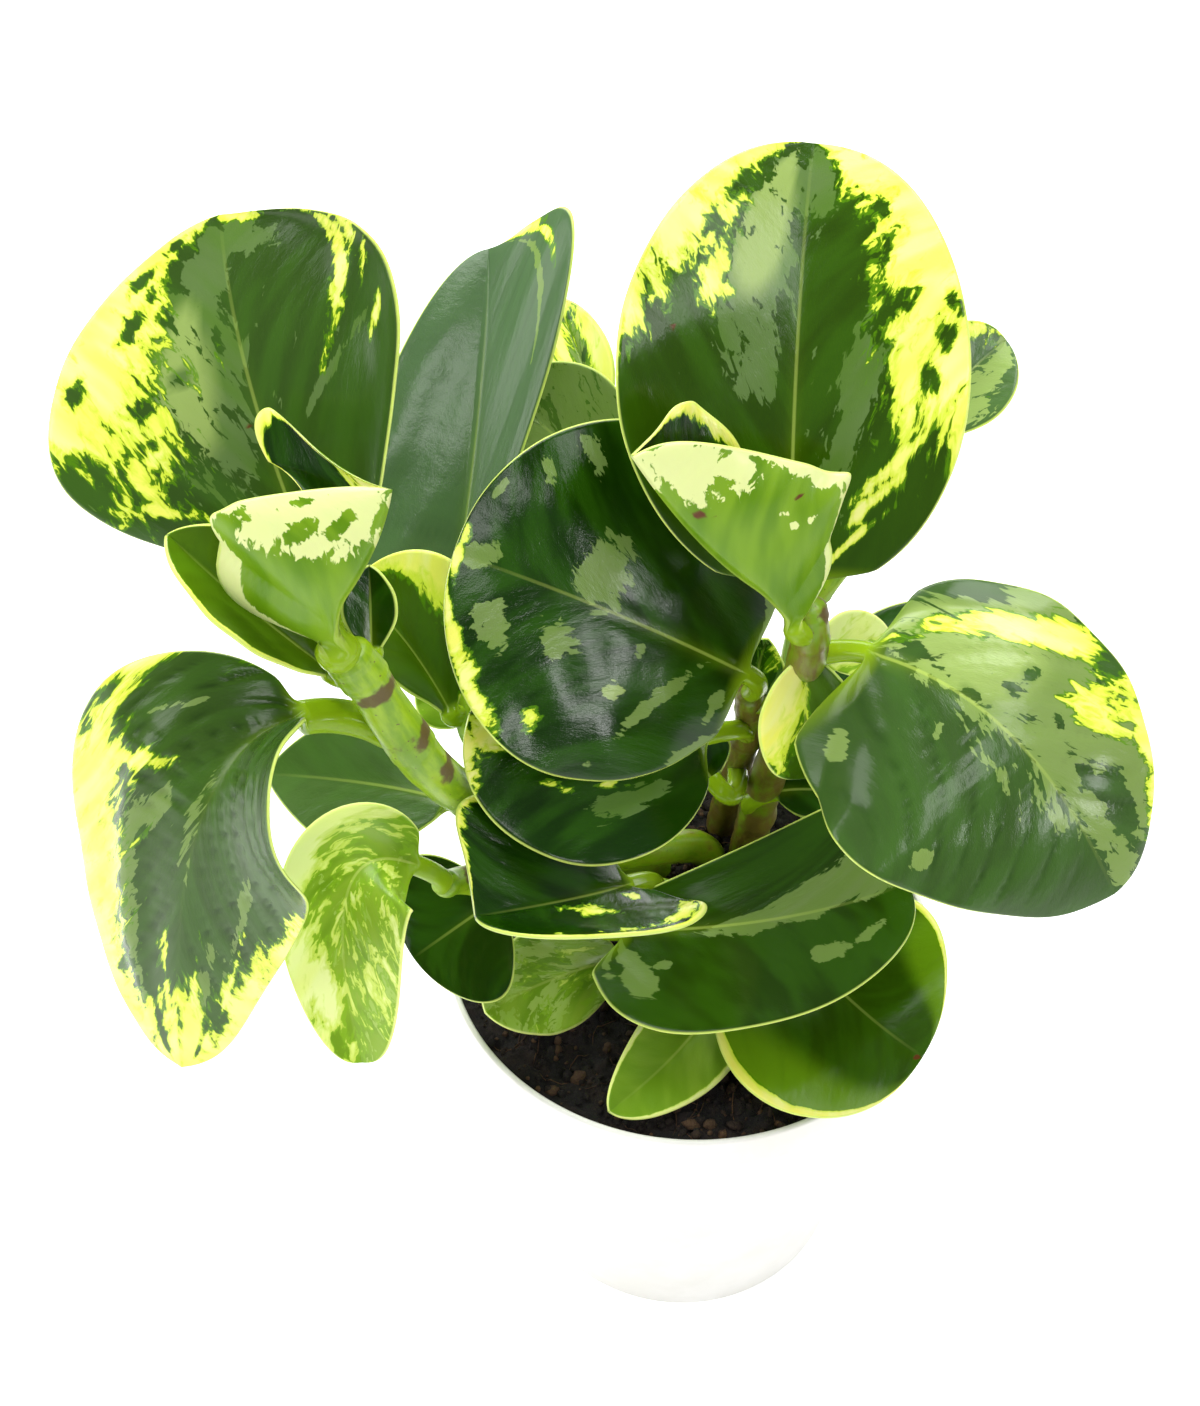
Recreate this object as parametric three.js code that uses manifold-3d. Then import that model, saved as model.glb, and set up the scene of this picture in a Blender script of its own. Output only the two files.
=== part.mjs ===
// A variegated peperomia in a 12 cm pot. Millimetres, Z up.
// The origin is the middle of the pot's flat base; the plant's front looks along -Y.
import {
  BufferGeometry, CatmullRomCurve3, Float32BufferAttribute, Group, Mesh, MeshStandardMaterial, Vector3,
} from 'three';
import Module from 'manifold-3d';

const wasm = await Module();
wasm.setup();

// Room left between neighbouring solids
const GAP = 0.3;

// Pot: a tapered thin wall with a plain band round the rim
const POT = {
  height: 105, rimRadius: 60, baseRadius: 43, wall: 1.5, floor: 1.8,
  bandHeight: 12, bandStep: 1.2, edgeRound: 0.5, sectors: 48,
};

// Soil: its mean level, the height of its lumps and the distance between them
const SOIL = { level: 98, lump: 1.6, spacing: 11, rings: 5, sectors: 48 };

// Blade thickness, the raised rib under the midrib, and the share where the petiole widens
const BLADE = {
  thickness: 1.1, rib: 0.9, ribWidth: 0.16, petioleShare: 0.05, neckShare: 0.25, neckTurn: 0.08,
};

// Stems: points on the axis with the radius there. A joint swells where a leaf sits.
const STEM = { step: 8, sides: 8, swelling: 0.09, swellingLength: 3 };

const STEMS = {
  left: [
    [6, 32, 84, 4.2],
    [4, 30, 103, 4.4],
    [-22, 3, 134, 4.4],
    [-46, -15, 169, 4.6],
    [-57, -27, 194, 4.8],
    [-67, -27, 217, 4.8],
    [-72, -27, 228, 4.5],
  ],
  right: [
    [16, 32, 84, 4.5],
    [16, 31, 101, 4.5],
    [18, 12, 152, 4.2],
    [20, -10, 200, 4],
    [20, -17, 221, 3.8],
    [19, -16, 231, 3.2],
  ],
  middle: [
    [9, 44, 84, 3.8],
    [10, 41, 101, 3.8],
    [11, 27, 135, 3.6],
    [12, 11, 166, 3.4],
    [11, 4, 186, 3],
  ],
  low_left: [
    [-6, 28, 84, 3.6],
    [-8, 26, 100, 3.6],
    [-32, -2, 126, 3.4],
    [-52, -11, 139, 3.2],
    [-58, -19, 147, 2.8],
  ],
  left_branch: [
    [-44, -12, 166, 3],
    [-47, -5, 173, 2.8],
    [-51, 1, 178, 2.6],
    [-52, 8, 184, 2.4],
    [-52, 15, 191, 2.2],
  ],
  front: [
    [2, 18, 84, 3],
    [0, 16, 100, 3],
    [-5, 8, 112, 2.8],
    [-8, 2, 120, 2.6],
  ],
  front_right: [
    [26, 20, 84, 3],
    [26, 18, 98, 3],
    [25, 11, 104, 2.6],
  ],
  back: [
    [0, 48, 84, 3.6],
    [0, 50, 101, 3.6],
    [-2, 58, 130, 3.2],
    [-6, 60, 160, 3],
    [-10, 62, 185, 2.6],
  ],
  back_right: [
    [19, 43, 84, 3.4],
    [20, 45, 101, 3.4],
    [25, 51, 130, 3.2],
    [28, 56, 158, 3],
    [37, 58, 176, 2.6],
    [46, 60, 192, 2.4],
  ],
};
const BRANCH_OF = { left_branch: 'left' };

const LEAVES = [
  {
    name: 'leaf_upper_left', on: ['left', 0.98],
    base: [-75, -14, 227], middle: [-88, 3, 264], tip: [-94, 25, 292], facing: [-0.1, -0.7, 0.7],
    width: 71, widest: 0.5, ends: [0.75, 0.42], points: [1.9, 0.95], fold: [4, 0],
    curl: [-12, 50], bend: 2.5, sides: [1.18, 0.98], skew: [-0.02, 0.2],
  },
  {
    name: 'leaf_young_left', on: ['left', 0.99],
    base: [-75, -33, 239], middle: [-65, -30, 253], tip: [-60, -24, 265], facing: [-0.8, 0.4, 0.4],
    width: 56, widest: 0.45, ends: [1.7, 0.45], fold: [65, 50], curl: [20, 45], bend: 0.6,
    skew: [0.8, -0.3], sides: [1.05, 1.05], petiole: 4, neck: [2.3, 3, -8],
  },
  {
    name: 'leaf_upper_back', on: ['left_branch', 0.98],
    base: [-55, 29, 190], middle: [-49, 57, 225], tip: [-47, 83, 248], facing: [0.1, -0.7, 0.7],
    width: 50, widest: 0.5, ends: [0.7, 0.6], fold: [5, 50], curl: [0, -10], skew: [-0.45, 0.45],
    sides: [1.15, 1],
  },
  {
    name: 'leaf_upper_right', on: ['right', 0.97],
    base: [16, -10, 228], middle: [16, 12, 270], tip: [19, 39, 299], facing: [0, -0.7, 0.7],
    width: 69, widest: 0.46, ends: [0.55, 0.5], points: [1, 0.8], fold: [6, 6], curl: [8, 8],
    sides: [1.03, 0.97], skew: [0, -0.03],
  },
  {
    name: 'leaf_young_right', on: ['right', 0.84],
    base: [16, -20, 233], middle: [-0, -20, 246], tip: [-16, -18, 268], facing: [0.7, 0.5, 0.5],
    width: 62, widest: 0.42, ends: [1.8, 0.45], fold: [50, 50], curl: [45, 40], bend: 0.6,
    skew: [-0.2, 0.35], sides: [0.92, 0.62], petiole: 2.6, neck: [0.5, 0, -6],
  },
  {
    name: 'leaf_centre', on: ['middle', 0.98],
    base: [9, -2, 197], middle: [-21, -7, 220], tip: [-51, -8, 236], facing: [0, -0.7, 0.7],
    width: 75, widest: 0.5, ends: [0.45, 0.45], fold: [4, 4], curl: [-8, -8], lobe: 0.05,
    sides: [0.95, 1.05],
  },
  {
    name: 'leaf_right', on: ['right', 0.72],
    base: [32, -19, 219], middle: [58, -38, 215], tip: [81, -52, 184], facing: [0.1, -0.6, 0.8],
    width: 65, widest: 0.45, ends: [0.4, 0.45], fold: [5, 0], curl: [-15, -12], lobe: [0, 0.2],
    sides: [0.85, 1.2],
  },
  {
    name: 'leaf_drooping_left', on: ['left', 0.73],
    base: [-81, -29, 211], middle: [-102, -44, 195], tip: [-114, -54, 127], facing: [-0.1, -0.4, 1.1],
    width: 58, widest: 0.5, ends: [0.75, 0.45], fold: [52, 30], foldTip: [-20, -5],
    curl: [10, -5], curlTip: [-20, -15], sides: [0.92, 1.2], petiole: 3.6,
  },
  {
    name: 'leaf_hanging_left', on: ['low_left', 0.99],
    base: [-62, -26, 162], middle: [-76, -35, 163], tip: [-74, -55, 130], facing: [-0.3, -0.5, 0.9],
    width: 30, widest: 0.45, ends: [0.5, 0.38], fold: [10, 10], curl: [20, 20], sides: [1.3, 1],
    finish: 'pale',
  },
  {
    name: 'leaf_centre_low', on: ['middle', 0.72],
    base: [1, -4, 180], middle: [-24, -15, 189], tip: [-49, -18, 201], facing: [0, -0.7, 0.7],
    width: 52, widest: 0.5, ends: [0.45, 0.45], fold: [4, 4], curl: [10, 10],
  },
  {
    name: 'leaf_front_folded', on: ['front', 0.97],
    base: [-16, -20, 148], middle: [-29, -35, 161], tip: [-48, -46, 169], facing: [0, -0.6, 0.8],
    width: 44, widest: 0.5, ends: [0.6, 0.45], fold: [45, 5], curl: [20, 5], skew: [-0.35, 0.4],
    sides: [1, 1.15],
  },
  {
    name: 'leaf_front', on: ['front', 0.72],
    base: [-17, -18, 129], middle: [18, -24, 141], tip: [47, -21, 150], facing: [0, -0.5, 0.9],
    width: 50, widest: 0.5, ends: [0.6, 0.5], points: [1, 0.8], fold: [6, 6], curl: [8, 8],
    lobe: 0.1, skew: [0.4, -0.2], sides: [0.9, 1],
  },
  {
    name: 'leaf_front_right', on: ['front_right', 0.98],
    base: [21, -3, 114], middle: [35, -30, 120], tip: [51, -46, 119], facing: [0, -0.6, 0.8],
    width: 55, widest: 0.5, ends: [0.45, 0.45], fold: [6, 6], curl: [8, 8], sides: [1, 1.16],
  },
  {
    name: 'leaf_rim_front', on: ['front', 0.5],
    base: [11, -10, 107], middle: [-1, -31, 105], tip: [-20, -52, 106], facing: [0, -0.6, 0.8],
    width: 25, widest: 0.5, ends: [0.5, 0.5], fold: [15, 15], finish: 'pale',
  },
  {
    name: 'leaf_rim_left', on: ['low_left', 0.3],
    base: [-17, -8, 106], middle: [-34, -17, 109], tip: [-49, -28, 111], facing: [0, -0.6, 0.8],
    width: 26, widest: 0.55, ends: [0.5, 0.5], fold: [10, 10], finish: 'pale',
  },
  {
    name: 'leaf_low_left', on: ['low_left', 0.75],
    base: [-46, -9, 130], middle: [-56, -13, 124], tip: [-66, -18, 119], facing: [0, -0.6, 0.8],
    width: 40, widest: 0.5, ends: [0.5, 0.5], fold: [5, 5],
  },
  {
    name: 'leaf_behind_left', on: ['left', 0.55],
    base: [-55, -10, 165], middle: [-74, -2, 162], tip: [-98, 2, 161], facing: [0, -0.5, 0.9],
    width: 34, widest: 0.5, ends: [0.6, 0.7], fold: [5, 5],
  },
  {
    name: 'leaf_inner_left', on: ['left_branch', 0.6],
    base: [-55, 1, 182], middle: [-65, 8, 198], tip: [-76, 14, 207], facing: [0, -0.7, 0.7],
    width: 40, widest: 0.55, ends: [0.8, 0.5], fold: [50, 0], curl: [0, 10], sides: [0.6, 1],
  },
  {
    name: 'leaf_narrow_left', on: ['left', 0.9],
    base: [-76, -22, 217], middle: [-91, -22, 235], tip: [-104, -19, 250], facing: [0.3, -0.4, 1.1],
    width: 26, widest: 0.55, ends: [0.6, 0.6], fold: [30, 30],
  },
  {
    name: 'leaf_back_folded', on: ['back', 0.98],
    base: [-22, 77, 205], middle: [-27, 89, 214], tip: [-33, 102, 222], facing: [0.5, -0.7, 0.7],
    width: 19, widest: 0.45, ends: [0.7, 0.6], fold: [15, 60],
  },
  {
    name: 'leaf_back_centre', on: ['back', 0.8],
    base: [-22, 52, 203], middle: [-32, 58, 214], tip: [-45, 63, 222], facing: [0, -0.7, 0.7],
    width: 36, widest: 0.5, ends: [0.6, 0.5], fold: [10, 10],
  },
  {
    name: 'leaf_back_right', on: ['back_right', 0.98],
    base: [51, 67, 206], middle: [62, 75, 217], tip: [73, 82, 224], facing: [0, -0.7, 0.7],
    width: 26, widest: 0.55, ends: [0.6, 0.5], fold: [20, 20],
  },
  {
    name: 'leaf_small_cupped', on: ['right', 0.84],
    base: [20, -16, 215], middle: [20, -21, 204], tip: [20, -28, 192], facing: [0, -0.5, 0.9],
    width: 23, widest: 0.55, ends: [0.5, 0.3], fold: [14, 22], curl: [15, 15],
  },
  {
    name: 'leaf_pale_right', on: ['right', 0.66],
    base: [28, 8, 190], middle: [34, 11, 193], tip: [42, 13, 194], facing: [0, -0.7, 0.7],
    width: 16, widest: 0.5, ends: [0.6, 0.6], fold: [10, 10], finish: 'pale',
  },
  {
    name: 'leaf_small_mottled', on: ['middle', 0.92],
    base: [13, 5, 182], middle: [13, 9, 188], tip: [15, 12, 194], facing: [0, -0.7, 0.7],
    width: 12, widest: 0.5, ends: [0.6, 0.6], fold: [10, 10],
  },
  {
    name: 'leaf_small_left', on: ['left', 0.9],
    base: [-67, -23, 224], middle: [-67, -18, 231], tip: [-67, -14, 238], facing: [0, -0.7, 0.7],
    width: 12, widest: 0.5, ends: [0.7, 0.6], fold: [20, 20],
  },
  {
    name: 'leaf_pale_inner', on: ['left_branch', 0.45],
    base: [-52, 15, 166], middle: [-58, 18, 169], tip: [-64, 21, 172], facing: [0, -0.7, 0.7],
    width: 14, widest: 0.5, ends: [0.6, 0.6], fold: [10, 10], finish: 'pale',
  },
  {
    name: 'leaf_small_middle', on: ['middle', 0.55],
    base: [4, 5, 156], middle: [1, 8, 158], tip: [-3, 9, 162], facing: [0, -0.7, 0.7],
    width: 18, widest: 0.5, ends: [0.6, 0.6], fold: [10, 10],
  },
  {
    name: 'leaf_small_low', on: ['right', 0.3],
    base: [20, 14, 142], middle: [28, 13, 144], tip: [37, 11, 144], facing: [0, -0.7, 0.7],
    width: 14, widest: 0.5, ends: [0.6, 0.6], fold: [10, 10],
  },
  {
    name: 'leaf_far_left', on: ['back', 0.45],
    base: [-8, 66, 128], middle: [-20, 88, 140], tip: [-34, 110, 138], facing: [0, -0.2, 1],
    width: 44, fold: [8, 8], curl: [8, 8],
  },
  {
    name: 'leaf_far_right', on: ['back', 0.6],
    base: [6, 64, 150], middle: [18, 88, 168], tip: [30, 108, 172], facing: [0.1, -0.3, 1],
    width: 46, fold: [8, 8], curl: [8, 8],
  },
  {
    name: 'leaf_side_left', on: ['back', 0.5],
    base: [-16, 50, 140], middle: [-40, 58, 150], tip: [-66, 62, 146], facing: [0, -0.4, 1],
    width: 44, fold: [8, 8], curl: [8, 8],
  },
  {
    name: 'leaf_side_right', on: ['right', 0.5],
    base: [34, 32, 150], middle: [58, 42, 154], tip: [84, 46, 148], facing: [0.2, -0.3, 1],
    width: 38, fold: [8, 8], curl: [8, 8],
  },
  {
    name: 'leaf_far_low', on: ['back_right', 0.4],
    base: [34, 57, 122], middle: [48, 68, 130], tip: [62, 80, 127], facing: [0.2, 0.1, 1],
    width: 34, fold: [8, 8], curl: [8, 8],
  },
  {
    name: 'leaf_back_high', on: ['back', 0.89],
    base: [-3, 70, 196], middle: [6, 80, 214], tip: [16, 88, 232], facing: [0.2, -0.8, 0.5],
    width: 36, fold: [8, 8], curl: [8, 8],
  },
  {
    name: 'leaf_back_tall', on: ['back_right', 0.72],
    base: [36, 68, 182], middle: [42, 82, 202], tip: [48, 92, 218], facing: [0.1, -0.8, 0.5],
    width: 29, fold: [8, 8], curl: [8, 8],
  },
  {
    name: 'leaf_side_high', on: ['back', 0.7],
    base: [-28, 66, 168], middle: [-46, 74, 182], tip: [-62, 80, 198], facing: [-0.2, -0.6, 0.8],
    width: 34, fold: [8, 8], curl: [8, 8],
  },
  {
    name: 'leaf_far_small', on: ['back', 0.3],
    base: [-10, 52, 112], middle: [-26, 66, 120], tip: [-44, 80, 120], facing: [-0.1, 0, 1],
    width: 32, fold: [8, 8], curl: [8, 8],
  },
];

const clamp01 = (value) => Math.min(1, Math.max(0, value));
const mix = (from, to, share) => from + (to - from) * share;
const smooth = (share) => clamp01(share) ** 2 * (3 - 2 * clamp01(share));
const radians = (degrees) => (degrees * Math.PI) / 180;
const pair = (value) => (Array.isArray(value) ? value : [value, value]);
const vector = (values) => new Vector3(values[0], values[1], values[2]);

// Solids from plain point and triangle lists

function solidFrom(points, triangles) {
  const vertProperties = new Float32Array(points.flatMap((point) => [point.x, point.y, point.z]));
  const triVerts = new Uint32Array(triangles.flat());
  return new wasm.Manifold(new wasm.Mesh({ numProp: 3, vertProperties, triVerts }));
}

function largestBody(solid) {
  const bodies = solid.decompose();
  return bodies.reduce((best, body) => (body.volume() > best.volume() ? body : best));
}

// Closed skin over rings of equal length. Each ring runs over the top from left to right
// and back below, so a strip between its two halves closes an end.
function loft(rings) {
  const count = rings[0].length;
  const half = count / 2;
  const triangles = [];
  for (let j = 0; j + 1 < rings.length; j += 1) {
    for (let i = 0; i < count; i += 1) {
      const next = (i + 1) % count;
      const [a, b] = [j * count + i, j * count + next];
      const [c, d] = [(j + 1) * count + next, (j + 1) * count + i];
      triangles.push(...(i < half ? [[a, b, c], [a, c, d]] : [[a, b, d], [b, c, d]]));
    }
  }
  const last = (rings.length - 1) * count;
  for (let i = 0; i + 1 < half; i += 1) {
    const [upper, upperNext, lowerNext, lower] = [i, i + 1, count - 2 - i, count - 1 - i];
    triangles.push([last + upper, last + upperNext, last + lowerNext]);
    triangles.push([last + upper, last + lowerNext, last + lower]);
    triangles.push([lowerNext, upperNext, upper], [lower, lowerNext, upper]);
  }
  return solidFrom(rings.flat(), triangles);
}

// Body of revolution whose profile starts and ends on the axis, going up the outside
function revolve(profile, sectors) {
  const points = [];
  const start = [];
  for (const [radius, height] of profile) {
    start.push(points.length);
    const count = radius < 1e-6 ? 1 : sectors;
    for (let i = 0; i < count; i += 1) {
      const angle = (2 * Math.PI * i) / sectors;
      const [x, y] = [radius * Math.cos(angle), radius * Math.sin(angle)];
      points.push(new Vector3(x, y, typeof height === 'function' ? height(x, y) : height));
    }
  }
  const at = (row, i) => (profile[row][0] < 1e-6 ? start[row] : start[row] + (i % sectors));
  const triangles = [];
  for (let row = 0; row + 1 < profile.length; row += 1) {
    for (let i = 0; i < sectors; i += 1) {
      const corners = [at(row, i), at(row, i + 1), at(row + 1, i + 1), at(row + 1, i)];
      if (corners[0] !== corners[1]) triangles.push([corners[0], corners[1], corners[2]]);
      if (corners[2] !== corners[3]) triangles.push([corners[0], corners[2], corners[3]]);
    }
  }
  return solidFrom(points, triangles);
}

// Pot and soil

function outerRadius(height) {
  const bandFoot = POT.height - POT.bandHeight;
  return mix(POT.baseRadius, POT.rimRadius - POT.bandStep, height / bandFoot);
}

function pot() {
  const bandFoot = POT.height - POT.bandHeight;
  const inside = POT.rimRadius - POT.wall;
  return revolve([
    [0, 0],
    [POT.baseRadius - 1, 0],
    [POT.baseRadius, 1],
    [outerRadius(bandFoot), bandFoot],
    [POT.rimRadius, bandFoot + POT.bandStep],
    [POT.rimRadius, POT.height - POT.edgeRound],
    [POT.rimRadius - POT.edgeRound, POT.height],
    [inside + POT.edgeRound, POT.height],
    [inside, POT.height - POT.edgeRound],
    [inside, bandFoot + POT.bandStep],
    [outerRadius(bandFoot) - POT.wall, bandFoot],
    [outerRadius(POT.floor) - POT.wall, POT.floor],
    [0, POT.floor],
  ], POT.sectors);
}

function soilHeight(x, y) {
  const { level, lump, spacing } = SOIL;
  const [u, v] = [(2 * Math.PI * x) / spacing, (2 * Math.PI * y) / spacing];
  const broad = Math.sin(0.37 * u + 0.29 * v + 1.1) * Math.cos(0.33 * v - 0.21 * u);
  const fine = Math.sin(0.83 * u + 0.4) * Math.sin(0.91 * v + 2.2);
  return level + lump * (0.6 * broad + 0.4 * fine);
}

function soil(grownStems) {
  const bandFoot = POT.height - POT.bandHeight;
  const reach = POT.rimRadius - POT.wall - GAP;
  const profile = [
    [0, POT.floor + GAP],
    [outerRadius(POT.floor) - POT.wall - GAP, POT.floor + GAP],
    [outerRadius(bandFoot) - POT.wall - GAP, bandFoot],
    [reach, bandFoot + POT.bandStep],
  ];
  for (let ring = SOIL.rings; ring > 0; ring -= 1) {
    profile.push([(reach * ring) / SOIL.rings, soilHeight]);
  }
  profile.push([0, soilHeight]);
  return grownStems.reduce((body, stem) => body.subtract(stem), revolve(profile, SOIL.sectors));
}

// Stems

function stemAxis(name) {
  const rows = STEMS[name];
  const curve = new CatmullRomCurve3(rows.map(vector), false, 'catmullrom', 0.5);
  const radiusAt = (share) => {
    const place = share * (rows.length - 1);
    const row = Math.min(Math.floor(place), rows.length - 2);
    return mix(rows[row][3], rows[row + 1][3], place - row);
  };
  return { curve, radiusAt };
}

function stem(name, growth) {
  const { curve, radiusAt } = stemAxis(name);
  const joints = LEAVES.filter((leaf) => leaf.on[0] === name).map((leaf) => curve.getPoint(leaf.on[1]));
  const count = Math.ceil(curve.getLength() / STEM.step);
  const side = new Vector3(1, 0, 0);
  const rings = [];
  for (let j = 0; j <= count; j += 1) {
    const share = j / count;
    const along = curve.getTangent(share);
    const across = side.clone().addScaledVector(along, -side.dot(along)).normalize();
    const up = new Vector3().crossVectors(across, along);
    const overrun = (j === count ? growth : 0) - (j === 0 ? growth : 0);
    const centre = curve.getPoint(share).addScaledVector(along, overrun);
    const nearest = Math.min(...joints.map((joint) => joint.distanceTo(centre)));
    const swelling = STEM.swelling * Math.exp(-((nearest / STEM.swellingLength) ** 2));
    const radius = radiusAt(share) * (1 + swelling) + growth;
    rings.push(Array.from({ length: STEM.sides }, (_, i) => {
      const angle = Math.PI - (2 * Math.PI * (i + 0.5)) / STEM.sides;
      return centre.clone()
        .addScaledVector(across, radius * Math.cos(angle))
        .addScaledVector(up, radius * Math.sin(angle));
    }));
  }
  return loft(rings);
}

// Leaves

// Half width of the blade on one side at share u of its length
function halfWidth(leaf, u, side) {
  const stretch = Math.log(0.5) / Math.log(leaf.widest);
  const bluntness = mix(leaf.ends[0], leaf.ends[1], smooth((u - 0.3) / 0.4)) * leaf.points[side];
  const hump = Math.sin(Math.PI * Math.min(u, 0.9999) ** stretch) ** bluntness;
  return (leaf.width / 2) * leaf.sides[side] * hump;
}

// Point and directions on the midrib: an arc through base, middle and tip, straight beyond its
// ends, whose first part is drawn out by the neck
function midribFrame(leaf, place) {
  const [base, middle, tip] = [leaf.base, leaf.middle, leaf.tip].map(vector);
  const pull = middle.clone().multiplyScalar(2).addScaledVector(base, -0.5).addScaledVector(tip, -0.5);
  const share = clamp01(place);
  const point = base.clone().multiplyScalar((1 - share) ** 2)
    .addScaledVector(pull, 2 * share * (1 - share))
    .addScaledVector(tip, share ** 2);
  const slope = pull.clone().sub(base).multiplyScalar(2 * (1 - share))
    .addScaledVector(tip.clone().sub(pull), 2 * share);
  const neck = vector(leaf.neck);
  const [drawn, turned] = [BLADE.neckShare, BLADE.neckTurn].map((end) => Math.max(0, 1 - share / end));
  point.addScaledVector(neck, drawn ** 2);
  slope.addScaledVector(neck, (-2 * turned) / BLADE.neckShare);
  point.addScaledVector(slope, place - share);
  return { point, ...directions(slope.normalize(), vector(leaf.facing)) };
}

function directions(along, facing) {
  const up = facing.clone().addScaledVector(along, -facing.dot(along)).normalize();
  const across = new Vector3().crossVectors(along, up);
  return { along, up, across };
}

// The two faces' points at share u of the length and place v across, -1 to 1
function bladePoints(leaf, u, v) {
  const side = v > 0 ? 1 : 0;
  const lobe = pair(leaf.lobe)[side];
  const place = u - lobe * v * v * (1 - u) ** 2 + leaf.skew[side] * Math.abs(v) * Math.sin(Math.PI * u);
  const frame = midribFrame(leaf, place);
  const width = Math.hypot(halfWidth(leaf, u, side), leaf.petiole * (1 - u));
  const fold = radians(mix(leaf.fold[side], leaf.foldTip[side], smooth(u * 1.3)));
  const curl = radians(mix(leaf.curl[side], leaf.curlTip[side], u));
  const reach = Math.abs(v);
  const steps = 12;
  let [x, z] = [0, 0];
  for (let i = 0; i < steps; i += 1) {
    const angle = fold + curl * ((reach * (i + 0.5)) / steps) ** leaf.bend;
    x += (Math.cos(angle) * reach) / steps;
    z += (Math.sin(angle) * reach) / steps;
  }
  const sign = side ? 1 : -1;
  const centre = frame.point.clone()
    .addScaledVector(frame.across, sign * x * width)
    .addScaledVector(frame.up, z * width);
  const angle = fold + curl * reach ** leaf.bend;
  const normal = frame.up.clone().multiplyScalar(Math.cos(angle))
    .addScaledVector(frame.across, -sign * Math.sin(angle));
  const rib = BLADE.rib * (1 - u) * Math.exp(-((v / BLADE.ribWidth) ** 2));
  return {
    upper: centre.clone().addScaledVector(normal, BLADE.thickness / 2),
    lower: centre.clone().addScaledVector(normal, -BLADE.thickness / 2 - rib),
  };
}

function petioleRing(leaf, centre, frame, across) {
  const count = 2 * across;
  return Array.from({ length: count }, (_, i) => {
    const angle = Math.PI - (2 * Math.PI * (i + 0.5)) / count;
    return centre.clone()
      .addScaledVector(frame.across, leaf.petiole * Math.cos(angle))
      .addScaledVector(frame.up, leaf.petiole * Math.sin(angle));
  });
}

function bladeRing(leaf, u, across) {
  const places = Array.from({ length: across }, (_, i) => (2 * i) / (across - 1) - 1);
  const faces = places.map((v) => bladePoints(leaf, u, v));
  const blade = [...faces.map((face) => face.upper), ...faces.map((face) => face.lower).reverse()];
  const frame = midribFrame(leaf, u);
  const round = petioleRing(leaf, frame.point, frame, across);
  const share = smooth(u / BLADE.petioleShare);
  return blade.map((point, i) => round[i].clone().lerp(point, share));
}

function leafBody(leaf, grownStem) {
  const large = leaf.width > 36;
  const [across, stations, petioleStations] = large ? [7, 10, 3] : [5, 8, 3];
  const root = stemAxis(leaf.on[0]).curve.getPoint(leaf.on[1]);
  const start = midribFrame(leaf, 0);
  const span = start.point.distanceTo(root);
  const pull = start.point.clone().addScaledVector(start.along, -0.5 * span);
  const rings = [];
  for (let j = 0; j < petioleStations; j += 1) {
    const share = j / petioleStations;
    const centre = root.clone().multiplyScalar((1 - share) ** 2)
      .addScaledVector(pull, 2 * share * (1 - share))
      .addScaledVector(start.point, share ** 2);
    const slope = pull.clone().sub(root).multiplyScalar(1 - share)
      .addScaledVector(start.point.clone().sub(pull), share);
    rings.push(petioleRing(leaf, centre, directions(slope.normalize(), start.up), across));
  }
  for (let j = 0; j <= stations; j += 1) {
    const u = (1 - Math.cos((Math.PI * j) / stations)) / 2;
    rings.push(bladeRing(leaf, Math.min(u, 0.997), across));
  }
  return largestBody(loft(rings).subtract(grownStem));
}

// Named meshes

const FINISHES = {
  leaf: { color: [0.06, 0.17, 0.03], roughness: 0.32, metalness: 0 },
  pale: { color: [0.36, 0.5, 0.12], roughness: 0.38, metalness: 0 },
  stem: { color: [0.33, 0.5, 0.09], roughness: 0.45, metalness: 0 },
  soil: { color: [0.035, 0.022, 0.014], roughness: 0.95, metalness: 0 },
  pot: { color: [0.86, 0.85, 0.82], roughness: 0.4, metalness: 0 },
};

function meshOf(name, solid, finish) {
  const { vertProperties, triVerts } = solid.getMesh();
  const geometry = new BufferGeometry();
  geometry.setAttribute('position', new Float32BufferAttribute(vertProperties, 3));
  geometry.setIndex(Array.from(triVerts));
  geometry.computeVertexNormals();
  const { color, roughness, metalness } = FINISHES[finish];
  const material = new MeshStandardMaterial({ roughness, metalness });
  material.color.setRGB(...color);
  const mesh = new Mesh(geometry, material);
  mesh.name = name;
  return mesh;
}

const DEFAULT_LEAF = {
  width: 40, widest: 0.5, ends: [0.5, 0.5], fold: [8, 8], curl: [8, 8], bend: 1, sides: [1, 1],
  points: [1, 1], skew: [0, 0], neck: [0, 0, 0], lobe: 0, petiole: 2.3, finish: 'leaf',
};

function completed(leaf) {
  const full = { ...DEFAULT_LEAF, ...leaf };
  return { ...full, foldTip: full.foldTip ?? full.fold, curlTip: full.curlTip ?? full.curl };
}

const plant = new Group();
plant.name = 'potted_peperomia';
const grown = Object.fromEntries(Object.keys(STEMS).map((name) => [name, stem(name, GAP)]));
plant.add(meshOf('pot', pot(), 'pot'));
plant.add(meshOf('soil', soil(Object.values(grown)), 'soil'));
for (const name of Object.keys(STEMS)) {
  const host = BRANCH_OF[name];
  const body = host ? largestBody(stem(name, 0).subtract(grown[host])) : stem(name, 0);
  plant.add(meshOf(`stem_${name}`, body, 'stem'));
}
for (const leaf of LEAVES.map(completed)) {
  plant.add(meshOf(leaf.name, leafBody(leaf, grown[leaf.on[0]]), leaf.finish));
}

export default plant;
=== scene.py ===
"""A variegated peperomia in a 12 cm pot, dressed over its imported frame. Metres, Z up."""

import logging
import math
from dataclasses import dataclass
from enum import Enum
from functools import partial

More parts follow.
